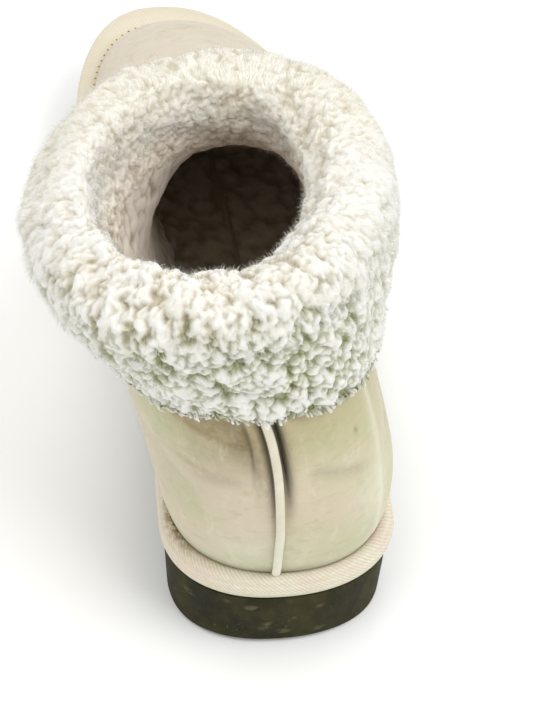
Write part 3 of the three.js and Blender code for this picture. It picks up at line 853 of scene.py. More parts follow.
@dataclass(frozen=True)
class Fleece:
    """Cream sheep's fleece with painted shade: tan and olive in its depths, rosy taupe inside the boot."""

    name: str = "fleece"
    crest: tuple = srgb(229, 228, 223)
    warm: tuple = srgb(227, 223, 210)
    # Colours of the painted shade in the fleece's depths: tan up on the cuff, olive low on it.
    tan: tuple = srgb(180, 160, 108)
    olive: tuple = srgb(136, 142, 76)
    # Inside the boot the fleece is painted rosy taupe as shade, darker still in its hollows.
    inner: tuple = srgb(226, 215, 200)
    inner_shade: tuple = srgb(150, 132, 104)

    def material(self) -> bpy.types.Material:
        """Builds the material from what the points carry: deep, root, inside, warm and low."""
        p = Paint(self.name)
        inside, warm = p.carried("inside"), p.carried("warm")
        # How much painted shade the fleece takes: in the hollows between its lobes, more low on the cuff,
        # and near the roots of its locks.
        depth = (p.carried("deep") * (p.carried("low") * 0.35 + 0.55) + p.carried("root") * 0.6).least(1)
        mottle = p.between(p.noise(p.object, 90, 3, 0.6), 0.4, 0.65)
        # light is the colour of the crests, shadow that of the painted shade.
        light = p.blend(mottle * 0.35 + warm * 0.6, self.crest, self.warm)
        shadow = p.blend(p.carried("low"), self.tan, self.olive)
        outer = p.blend(depth, light, shadow)
        inner = p.blend(depth, self.inner, self.inner_shade)
        # The painted shade colours take over inside the boot.
        colour = p.blend(inside, outer, inner)
        strand = p.noise(p.scaled(p.uv, (2.2, 0.9, 1)), 1, 4, 0.65, 1.2) * 0.4
        strand = strand + p.noise(p.object, 1300, 3, 0.6, 1) * 0.4
        curl = p.noise(p.object, 520, 3, 0.6, 1.6) + (1 - p.cells(p.object, 560)) * 0.45
        # The hollows of the small bump are painted a little tan as shade.
        colour = p.blend(p.between(curl, 0.3, 0.55, 0.12, 0), colour, self.tan)
        return p.finish(
            Base_Color=colour, Roughness=0.95, Normal=p.raised(strand * 0.5 + curl, 0.5, 0.0007),
            Sheen_Weight=0.15, Sheen_Roughness=0.6, Specular_IOR_Level=0.1,
            Subsurface_Weight=0.35, Subsurface_Radius=(1.0, 0.9, 0.75), Subsurface_Scale=0.0025,
        )


@dataclass(frozen=True)
class Thread:
    """Twisted sewing thread."""

    name: str
    colour: tuple
    dark: tuple

    def material(self) -> bpy.types.Material:
        """Builds the material."""
        p = Paint(self.name)
        ply = p.noise(p.object, 1600, 3, 0.6)
        colour = p.blend(p.between(ply, 0.35, 0.65), self.dark, self.colour)
        return p.finish(Base_Color=colour, Roughness=0.8, Normal=p.raised(ply, 0.6, 0.0003))


# What repeats.


class Sower(Maker):
    """A Geometry Nodes tree that sets small shapes on a surface or along a path."""

    def __init__(self, name: str, sizes: dict[str, float], seed: int) -> None:
        """Starts the tree with named inputs.

        Args:
            name: the tree's name.
            sizes: the named inputs and their values.
            seed: the fixed seed of what is random.
        """
        super().__init__(bpy.data.node_groups.new(name, "GeometryNodeTree"))
        face = self.tree.interface
        face.new_socket(name="Geometry", in_out="OUTPUT", socket_type="NodeSocketGeometry")
        face.new_socket(name="Carrier", in_out="INPUT", socket_type="NodeSocketGeometry")
        face.new_socket(name="Finish", in_out="INPUT", socket_type="NodeSocketMaterial")
        for size in sizes:
            face.new_socket(name=size, in_out="INPUT", socket_type="NodeSocketFloat")
        self.sizes = sizes
        self.seed = seed
        self.entry = self.node("NodeGroupInput")

    def given(self, name: str) -> Wire:
        """Reads one of the tree's inputs."""
        return Wire(self, self.entry.outputs[name])

    def named(self, name: str, kind: str) -> Wire:
        """Reads what the carrier's points carry."""
        return self.wire("GeometryNodeInputNamedAttribute", {"data_type": kind}, {0: name})

    def aimed(self, upward: Wire, forward: Wire) -> Wire:
        """Turns a shape so that it stands on the surface and heads forward.

        Args:
            upward: the way in which the shape stands.
            forward: the way in which it heads.

        Returns:
            The rotation.
        """
        kind = "FunctionNodeAlignRotationToVector"
        stand = self.wire(kind, {"axis": "Z"}, {"Vector": upward})
        return self.wire(kind, {"axis": "X", "pivot_axis": "Z"}, {"Rotation": stand, "Vector": forward})

    def choice(self, shapes: Sequence[bpy.types.Object]) -> Wire:
        """Gathers the shapes to choose from, in one collection.

        Args:
            shapes: the unlinked shapes.

        Returns:
            The shapes as separate instances.
        """
        box = bpy.data.collections.new(self.tree.name + "_shapes")
        for shape in shapes:
            box.objects.link(shape)
        sockets = {"Collection": box, "Separate Children": True, "Reset Children": True}
        return self.wire("GeometryNodeCollectionInfo", {"transform_space": "ORIGINAL"}, sockets)

    def random(self, low: float, high: float) -> Wire:
        """Gives each copy its own number between two."""
        return self.wire("FunctionNodeRandomValue", {"data_type": "FLOAT"}, {
            2: low, 3: high, "Seed": self.seed + 1,
        }, 1)

    def over_surface(self, shapes: Sequence[bpy.types.Object]) -> "Sower":
        """Sets shapes all over the carrier, turned as its lean says.

        Args:
            shapes: the shapes to choose from.

        Returns:
            The finished tree.
        """
        spread = self.node("GeometryNodeDistributePointsOnFaces", {"distribute_method": "POISSON"}, {
            "Mesh": self.given("Carrier"), "Distance Min": self.given("Spacing"),
            "Density Max": self.given("Most"), "Seed": self.seed,
        })
        turn = self.aimed(Wire(self, spread.outputs["Normal"]), self.named("lean", "FLOAT_VECTOR"))
        size = self.named("size", "FLOAT") * self.random(0.75, 1.25) * self.given("Scale")
        return self.ended(Wire(self, spread.outputs["Points"]), shapes, turn, size)

    def along_path(self, shapes: Sequence[bpy.types.Object]) -> "Sower":
        """Sets shapes at equal steps along the carrier's edges, standing as out says.

        Args:
            shapes: the shapes to choose from.

        Returns:
            The finished tree.
        """
        curve = self.wire("GeometryNodeMeshToCurve", None, {"Mesh": self.given("Carrier")})
        sockets = {"Curve": curve, "Length": self.given("Spacing")}
        steps = self.wire("GeometryNodeResampleCurve", {"mode": "LENGTH"}, sockets)
        turn = self.aimed(self.named("out", "FLOAT_VECTOR"), self.wire("GeometryNodeInputTangent"))
        size = self.random(0.9, 1.12) * self.given("Scale")
        return self.ended(steps, shapes, turn, size)

    def ended(self, points: Wire, shapes: Sequence[bpy.types.Object], turn: Wire, size: Wire) -> "Sower":
        """Ends the tree in real shapes with their finish.

        Args:
            points: where the copies stand.
            shapes: the shapes to choose from.
            turn: how each copy is turned.
            size: each copy's scale.

        Returns:
            The finished tree.
        """
        sockets = {4: 0, 5: len(shapes) - 1, "Seed": self.seed + 2}
        pick = self.wire("FunctionNodeRandomValue", {"data_type": "INT"}, sockets, 2)
        copies = self.wire("GeometryNodeInstanceOnPoints", None, {
            "Points": points, "Instance": self.choice(shapes), "Pick Instance": True,
            "Instance Index": pick, "Rotation": turn, "Scale": size,
        })
        real = self.wire("GeometryNodeRealizeInstances", None, {"Geometry": copies})
        sockets = {"Geometry": real, "Material": self.given("Finish")}
        done = self.wire("GeometryNodeSetMaterial", None, sockets)
        self.node("NodeGroupOutput", None, {"Geometry": done})
        return self

    def grown(self, name: str, carrier: bpy.types.Object, finish: bpy.types.Material) -> bpy.types.Object:
        """Runs the tree on a carrier and keeps the result as a plain mesh.

        Args:
            name: the new piece's name.
            carrier: what the shapes are set on; it is removed.
            finish: the material of the shapes.

        Returns:
            The new piece.
        """
        modifier = carrier.modifiers.new("sow", "NODES")
        modifier.node_group = self.tree
        for item in self.tree.interface.items_tree:
            if item.in_out == "INPUT" and item.name in self.sizes:
                modifier[item.identifier] = float(self.sizes[item.name])
            elif item.in_out == "INPUT" and item.name == "Finish":
                modifier[item.identifier] = finish
        graph = bpy.context.evaluated_depsgraph_get()
        mesh = bpy.data.meshes.new_from_object(carrier.evaluated_get(graph))
        mesh.name = name
        carrier.modifiers.remove(modifier)
        bpy.data.objects.remove(carrier)
        return shown(name, mesh)


@dataclass(frozen=True)
class Lock:
    """One lock of wool, a soft bent finger heading along +X and standing on Z; sizes in millimetres."""

    reach: float
    rise: float
    sway: float
    thick: float
    slim: float
    droop: float
    seed: int
    stations: tuple[float, ...] = (0, 0.22, 0.44, 0.64, 0.82, 0.94)
    sides: int = 6
    behind: float = 0.3
    sunk: float = 1.1
    shoulder: float = 0.6
    flat: float = 0.85
    lumps: float = 0.16
    point: float = 0.16
    rooted: float = 0.62

    def shape(self, name: str) -> bpy.types.Object:
        """Builds the lock as a small closed finger that carries how near its root each point is.

        Args:
            name: the shape's name.

        Returns:
            An unlinked object near the origin, in metres.
        """
        t = np.array(self.stations)
        x, y = self.reach * (t - self.behind), self.sway * np.sin(math.pi * t)
        z = (self.rise + self.sunk) * np.sin(math.pi * (0.06 + self.droop * t)) - self.sunk
        path = np.stack([x, y, z], 1)
        heading = unit(np.gradient(path, axis=0))
        across = unit(np.cross(heading, [0, 0, 1.0]))
        over = np.cross(across, heading)
        grown = self.slim + (1 - self.slim) * np.sin(math.pi / 2 * np.clip(t / self.shoulder, 0, 1))
        tip = np.clip(t - self.shoulder, 0, 1) / (1 - self.shoulder)
        radius = self.thick * grown * np.sqrt(np.clip(1 - tip ** 2, 0, 1))
        angle = turns(self.sides) * FULL_TURN
        ring = across[:, None] * np.cos(angle)[None, :, None]
        ring = ring + over[:, None] * np.sin(angle)[None, :, None] * self.flat
        shape = len(t), self.sides
        uneven = 1 + self.lumps * np.random.default_rng(self.seed).uniform(-1, 1, shape)
        skin = (path[:, None] + ring * (radius[:, None] * uneven)[..., None]).reshape(-1, 3)
        end = path[-1:] + heading[-1:] * self.thick * self.point
        last = len(skin) - self.sides
        cap = [[last + j, last + (j + 1) % self.sides, len(skin)] for j in range(self.sides)]
        mesh = bare_mesh(name, np.vstack([skin, end]) * MM, grid_faces(*shape) + cap)
        # root is the share of painted shade along the lock: full at its root, none past rooted.
        mark(mesh, "root", np.append(np.repeat(np.clip(1 - t / self.rooted, 0, 1), self.sides), 0))
        return bpy.data.objects.new(name, mesh)


@dataclass(frozen=True)
class Hair:
    """One loose hair standing on Z, a thin tapering blade; sizes in millimetres."""

    length: float
    bend: float
    width: float = 0.13
    sunk: float = 0.1

    def shape(self, name: str) -> bpy.types.Object:
        """Builds the hair as a blade of two faces.

        Args:
            name: the shape's name.

        Returns:
            An unlinked object near the origin, in metres.
        """
        half, knee, high = self.width / 2, self.bend * 0.35, self.length * 0.55
        points = [(0, -half, -self.sunk), (0, half, -self.sunk), (knee, half * 0.7, high),
                  (knee, -half * 0.7, high), (self.bend, 0, self.length)]
        mesh = bare_mesh(name, np.array(points) * MM, [(0, 1, 2, 3), (3, 2, 4)], soft=False)
        return bpy.data.objects.new(name, mesh)


@dataclass(frozen=True)
class Stitch:
    """One stitch of thread lying along +X; sizes in millimetres."""

    length: float
    thick: float
    sink: float
    rings: int = 6
    sides: int = 6

    def shape(self, name: str) -> bpy.types.Object:
        """Builds the stitch as a small arched pill.

        Args:
            name: the shape's name.

        Returns:
            An unlinked object near the origin, in metres.
        """
        t = np.linspace(0, 1, self.rings)
        x = (t - 0.5) * self.length
        z = self.thick * 0.9 * np.sin(math.pi * t) - self.sink
        radius = (self.thick * np.sqrt(np.clip(np.sin(math.pi * (0.06 + 0.88 * t)), 0.05, 1)))[:, None]
        angle = turns(self.sides) * FULL_TURN
        x, y = np.repeat(x[:, None], self.sides, 1), radius * np.cos(angle)
        points = np.stack([x, y, z[:, None] + radius * np.sin(angle)], -1).reshape(-1, 3)
        faces = grid_faces(self.rings, self.sides)
        faces += [list(range(self.sides - 1, -1, -1)), list(range(len(points) - self.sides, len(points)))]
        return bpy.data.objects.new(name, bare_mesh(name, points * MM, faces))


def carrier_path(name: str, points: np.ndarray, out: np.ndarray) -> bpy.types.Object:
    """Makes the edges that a path's shapes are set along.

    Args:
        name: the carrier's name.
        points: the path in the last's millimetres.
        out: the direction away from the surface at each point.

    Returns:
        The carrier object.
    """
    mesh = bare_mesh(name, in_row(points), [], [(i, i + 1) for i in range(len(points) - 1)])
    mark(mesh, "out", out * ROW_TURN)
    return shown(name, mesh)


def scattered(base: np.ndarray, pitch: float, rng: np.random.Generator) -> np.ndarray:
    """Scatters the middles of a fleece's lobes.

    Args:
        base: the fleece's grid of points.
        pitch: how far apart the middles stand, in millimetres.
        rng: the seeded source of chance.

    Returns:
        The middles.
    """
    rows, around = base.shape[:2]
    walked = walked_along(steps_between(base).mean(1))
    lines, loose = int(walked[-1] / pitch), 0.45
    seeds = []
    for k in range(lines):
        row = np.interp((k + 0.5) / lines * walked[-1], walked, np.arange(rows))
        count = int(steps_around(base[int(row)]).sum() / pitch)
        r = np.clip(row + rng.uniform(-loose, loose, count) * rows / lines, 0, rows - 1).astype(int)
        c = (np.arange(count) + 0.5 * (k % 2) + rng.uniform(-loose, loose, count)) / count * around
        seeds.append(base[r, c.astype(int) % around])
    return np.concatenate(seeds)


def lobed(spots: np.ndarray, flow: np.ndarray, seeds: np.ndarray, sizes: np.ndarray,
          pull: np.ndarray) -> tuple[np.ndarray, np.ndarray]:
    """Raises round lobes that run softly into each other.

    Args:
        spots: the points.
        flow: the way in which the fleece lies there.
        seeds: the lobes' middles.
        sizes: the lobes' radii in millimetres.
        pull: how much the lobes are drawn out along the flow, 0 to 1.

    Returns:
        The number of the lobe that stands highest, and the height, about 1 on a crest.
    """
    tree = KDTree(len(seeds))
    for i, seed in enumerate(seeds):
        tree.insert(seed, i)
    tree.balance()
    nearest, sharpness = 6, 6
    near = np.array([[hit[1] for hit in tree.find_n(spot, nearest)] for spot in spots])
    delta = seeds[near] - spots[:, None]
    along = (delta * flow[:, None]).sum(2)
    away = (delta ** 2).sum(2) - pull[:, None] * along ** 2
    radius = sizes[near]
    swell = np.sqrt(np.clip(1 - away / radius ** 2, 0, 1)) * radius / sizes.mean()
    top = np.take_along_axis(near, swell.argmax(1)[:, None], 1)[:, 0]
    return top, (swell ** sharpness).sum(1) ** (1 / sharpness)


# Sub-assemblies.


@dataclass
class Outsole:
    """Moulded sole: tapered wall, soft edges and grooves of tread beneath.

    The wall's steps are shares of the taper that is left and of the height.
    """

    taper: float = 1
    wall_steps: tuple = ((0.86, 0.15), (0.62, 0.35), (0.33, 0.55), (0.12, 0.78))
    edge: float = 0.9
    tread_depth: float = 2.4
    groove: float = 3
    groove_slope: float = 0.6
    groove_end: float = 1.5
    pitch: float = 12
    margin: float = 8
    fields: tuple = ((0.07, 0.33), (0.55, 0.86))
    steps: int = 360
    across: int = 28

    def wall_rows(self) -> list[tuple[float, float, float]]:
        """Lists the wall's rings as inset, share of the height and millimetres above it."""
        quarter = np.linspace(0, math.pi / 2, 5)
        wide, half = self.edge, self.edge / 2
        low = [(self.taper + wide * (1 - math.sin(a)), 0.0, wide * (1 - math.cos(a))) for a in quarter]
        middle = [(self.taper * left, share, 0.0) for left, share in self.wall_steps]
        high = [(half * (1 - math.cos(a)), 1.0, -half * (1 - math.sin(a))) for a in quarter]
        return low + middle + high

    def sunk(self, at: np.ndarray, off: np.ndarray) -> np.ndarray:
        """Tells how deep the tread's grooves go at a place along and across the sole.

        Args:
            at: shares of the sole's length.
            off: millimetres off the sole's middle.

        Returns:
            The depths in millimetres.
        """
        deep = np.zeros(np.broadcast(at, off).shape)
        toe_cap, wide = LAST.toe_cap * LAST.ball_width, self.groove / 2
        for start, end in self.fields:
            count = max(2, round((end - start) * LAST.length / self.pitch))
            for middle in np.linspace(start, end, count):
                reach = LAST.round_end((1 - middle) * LAST.length, toe_cap, LAST.toe_power)
                half = reach * (LAST.half(np.array([middle]))[0] - self.taper - self.margin)
                along = np.abs(at - middle) * LAST.length
                across = ease(wide + self.groove_slope, wide - self.groove_slope, along)
                ends = ease(half + self.groove_end, half - self.groove_end, off)
                deep = np.maximum(deep, across * ends)
        return deep * self.tread_depth

    def cap(self, ring: np.ndarray, first: int, start: int, upper: bool) -> tuple[np.ndarray, list]:
        """Closes one end of the wall with strips across the sole.

        Args:
            ring: the points of the wall's last ring.
            first: the number of its first point.
            start: the number of the cap's own first point.
            upper: whether this is the upper cap; the other one has the tread.

        Returns:
            The cap's own points, and its faces.
        """
        n = self.steps
        outer, inner = np.arange(n + 1), np.concatenate([[0], np.arange(2 * n - 1, n, -1), [n]])
        share = np.linspace(0, 1, self.across + 1)[1:-1]
        points = mix(ring[outer][1:-1, None], ring[inner][1:-1, None], share[None, :, None])
        if not upper:
            at = np.clip(points[..., 1] / LAST.length, 0, 1)
            points[..., 2] = LAST.under(at) + self.sunk(at, np.abs(points[..., 0] - LAST.middle(at)))
        number = start + np.arange(points.shape[0] * points.shape[1]).reshape(points.shape[:2])
        full = np.concatenate([first + outer[1:-1, None], number, first + inner[1:-1, None]], 1)
        quads = np.stack([full[:-1, :-1], full[1:, :-1], full[1:, 1:], full[:-1, 1:]], -1).reshape(-1, 4)
        heel = [[first, full[0, k], full[0, k + 1]] for k in range(self.across)]
        toe = [[first + n, full[-1, k + 1], full[-1, k]] for k in range(self.across)]
        faces = quads.tolist() + np.array(heel + toe).tolist()
        return points.reshape(-1, 3), faces if upper else [face[::-1] for face in faces]

    def build(self) -> bpy.types.Object:
        """Builds and dresses the sole."""
        share, side = round_trip(self.steps)
        rings = []
        for inset, height, above in self.wall_rows():
            x, s, at = LAST.outline(-inset, share, side)
            rings.append(np.stack([x, s, mix(LAST.under(at), LAST.top(at), height) + above], 1))
        points = np.concatenate(rings)
        faces = grid_faces(len(rings), len(share))
        for row, upper in ((0, False), (len(rings) - 1, True)):
            own, more = self.cap(rings[row], row * len(share), len(points), upper)
            points = np.concatenate([points, own])
            faces += more
        piece = Piece("outsole_moulded", points, faces).build(MouldedFoam().material())
        return dress(piece, Slot.FOAM, "outsole")


@dataclass
class Band:
    """Wrapped band between sole and upper, with its stitches and needle holes.

    The face's steps are shares of the bulge and of the height. Stretches round the band are shares of
    a turn, and sizes are in millimetres.
    """

    height: float = 8.7
    bulge: float = 1.8
    face: tuple = ((0.7, 0.26), (1, 0.54), (0.72, 0.8), (0.33, 0.93))
    crown_inwards: float = 0.42
    crown_rise: float = 0.12
    feather: float = 0.1
    tucked: float = 1.3
    levels: int = 14
    inner_levels: tuple[int, ...] = (10, 6, 0)
    clearance: float = 0.05
    sole_edge: float = 0.9
    around: int = 720
    rows: int = 30
    stitch_row: float = 6.25
    hole_row: float = 5.6
    stitch_step: float = 3.1
    stitch_seed: int = 11
    sewn: tuple[float, float] = (0.09, 0.95)
    stained: tuple[float, ...] = (0.84, 0.9, 0.935, 0.965)
    plain_toe: tuple[float, float] = (150, 215)

    def level(self, rise: float) -> Rule:
        """Gives the rule for a ring's height, at a share of the band's own."""
        return lambda at: LAST.top(at) + LAST.gap + rise * self.height

    def rings(self) -> np.ndarray:
        """Lists the band's rings from the sole's edge, over its crown, down to the feather edge."""
        low = LAST.outline_loop(-self.sole_edge / 2, self.level(0), self.around)
        out = [LAST.outline_loop(b * self.bulge, self.level(r), self.around) for b, r in self.face]
        places = np.linspace(0, self.feather * self.tucked, self.levels)
        grid = np.stack([LAST.upper_loop(place, self.around) for place in places])
        facing = normals_of(grid)
        inner = [grid[i] + facing[i] * self.clearance for i in self.inner_levels]
        crown = mix(out[-1], inner[0], self.crown_inwards) + np.array([0, 0, self.crown_rise * self.height])
        return np.stack([low, *out, crown, *inner])

    def build(self) -> list[bpy.types.Object]:
        """Builds and dresses the band, its stitches and its holes."""
        rings = self.rings()
        first_inner = len(rings) - len(self.inner_levels)
        at = np.concatenate([np.linspace(0, first_inner, self.rows), first_inner + np.array([0.5, 1, 2])])
        fine = through(rings, at)
        rows, n = fine.shape[:2]
        step = steps_around(fine[4])
        whole = round(step.sum() / WrappedBand.rib_mm) * WrappedBand.rib_mm
        across = walked_along(steps_between(fine[:, 0]))
        u, v = np.meshgrid(walked_along(step)[:-1] * whole / step.sum(), across)
        face_share, turn = across / across[self.rows - 1], turns(n)
        start, full, fading, gone = self.stained
        worn = ease(start, full, turn) * ease(gone, fading, turn)
        stain = ease(0.55, 0.9, face_share)[:, None] * worn[None]
        piece = Piece("band_wrapped", fine.reshape(-1, 3), grid_faces(rows, n, True), {
            "low": np.repeat(ease(0.42, 0.1, face_share), n), "stain": (stain * 0.8).ravel(),
            "plain": ease(*self.plain_toe, fine[..., 1]).ravel(),
        }, np.stack([u.ravel(), v.ravel()], 1), whole).build(WrappedBand().material())
        made = [dress(piece, Slot.BAND, "welt_band")]
        facing = normals_of(fine)
        sewn = slice(*(int(share * n) for share in self.sewn))
        for name, row, shape, finish in (
            ("band_stitches", self.stitch_row, Stitch(2.1, 0.3, 0.1),
             Thread("band_thread", srgb(226, 206, 168), srgb(176, 146, 98))),
            # Small sunk brown pills stand for the needle holes, painted as their shade.
            ("band_needle_holes", self.hole_row, Stitch(0.9, 0.3, 0.26),
             Thread("needle_hole", srgb(164, 130, 84), srgb(120, 90, 52))),
        ):
            path = through(rings, np.array([row]))[0][sewn]
            near = int(np.argmin(np.abs(at - row)))
            sower = Sower(name, {"Spacing": self.stitch_step * MM, "Scale": 1}, self.stitch_seed)
            carrier = carrier_path(name + "_path", path, facing[near][sewn])
            grown = sower.along_path([shape.shape(name + "_shape")]).grown(name, carrier, finish.material())
            made.append(dress(grown, Slot.BAND))
        return made


@dataclass(frozen=True)
class Fold:
    """A soft trough or ridge of the suede, given in millimetres."""

    start: tuple[float, float]
    end: tuple[float, float]
    width: float
    depth: float
    # dark is how much painted shade the fold's trough takes in the suede's colour.
    dark: float = 0.0
    ends: float = 0.25


# A place is the millimetres round from the back seam, outer side positive, and the height over the floor.
FOLDS = (
    Fold((2.5, 106), (-0.2, 52), 1.35, -2.4, 1.0),
    Fold((5.9, 106), (3.4, 56), 2.3, 1.5),
    Fold((-2.1, 106), (-4.5, 46), 0.7, -0.9, 1.0),
    Fold((-4.4, 106), (-6.6, 58), 1.3, 0.8),
    Fold((-6.6, 106), (-8.4, 62), 0.9, -0.9, 0.55),
    Fold((-11.0, 106), (-10.0, 66), 3.0, -0.9, 0.2),
    Fold((4, 76), (30, 68), 2.2, -1.1, 0.16),
    Fold((6, 70), (26, 62), 4.0, 0.8),
    Fold((10, 90), (34, 92), 8.0, 0.9),
    Fold((-32, 68), (-9, 72), 1.6, -0.7, 0.14),
    Fold((-30, 62), (-8, 66), 4.0, 0.7),
    Fold((-40, 92), (-14, 90), 7.0, 0.8),
    Fold((-58, 70), (-22, 60), 5.5, -0.8, 0.04),
    Fold((36, 64), (70, 76), 5.0, -0.8, 0.04),
    Fold((44, 84), (82, 72), 5.0, -0.9, 0.05),
    Fold((52, 94), (92, 84), 6.0, 0.8),
    Fold((-46, 84), (-84, 74), 5.0, -0.9, 0.05),
    Fold((-54, 96), (-96, 86), 6.0, 0.8),
    Fold((70, 58), (104, 62), 6.0, -0.7, 0.03),
    Fold((-70, 58), (-106, 64), 6.0, -0.7, 0.03),
)


# Soft flex creases over the forefoot: (millimetres from the heel, width, depth).
FLEX_CREASES = ((166, 5, -0.8), (172, 4, 0.5), (181, 6, -0.9), (196, 5, -0.6), (203, 5, 0.4))


@dataclass(frozen=True)
class Cloud:
    """A soft patch of colour in the suede, given in millimetres."""

    tint: str
    place: tuple[float, float]
    wide: float
    tall: float
    share: float

    def over(self, off: np.ndarray, height: np.ndarray) -> np.ndarray:
        """Tells how strong the patch is at places round from the back seam and over the floor."""
        x, z = (off - self.place[0]) / self.wide, (height - self.place[1]) / self.tall
        return self.share * np.exp(-(x * x + z * z))


CLOUDS = (
    Cloud("brown", (-8, 87), 7, 6, 0.9), Cloud("brown", (-15, 91), 7, 5, 0.9),
    Cloud("brown", (-25, 92), 9, 5, 0.85), Cloud("brown", (-19, 92), 8, 5, 0.6),
    Cloud("brown", (-5, 74), 3, 10, 0.5), Cloud("brown", (-20, 80), 13, 7, 0.4),
    Cloud("brown", (25, 83), 0.8, 1.3, 0.95), Cloud("brown", (5, 88), 3, 8, 0.3),
    Cloud("brown", (0, 34), 16, 3, 0.35), Cloud("brown", (-26, 72), 10, 1.6, 0.35),
    Cloud("sage", (-34, 84), 12, 14, 0.9), Cloud("sage", (15, 87), 13, 9, 1),
    Cloud("sage", (30, 78), 7, 12, 0.6), Cloud("sage", (-34, 56), 12, 10, 0.6),
    Cloud("sage", (22, 44), 12, 7, 0.5), Cloud("sage", (-10, 42), 10, 6, 0.3),
    Cloud("rose", (12, 62), 14, 11, 0.9), Cloud("rose", (-13, 64), 14, 9, 0.7),
    Cloud("rose", (-26, 70), 8, 6, 0.5), Cloud("pale", (-8, 46), 14, 7, 0.5),
    Cloud("pale", (30, 58), 8, 10, 0.6),
)


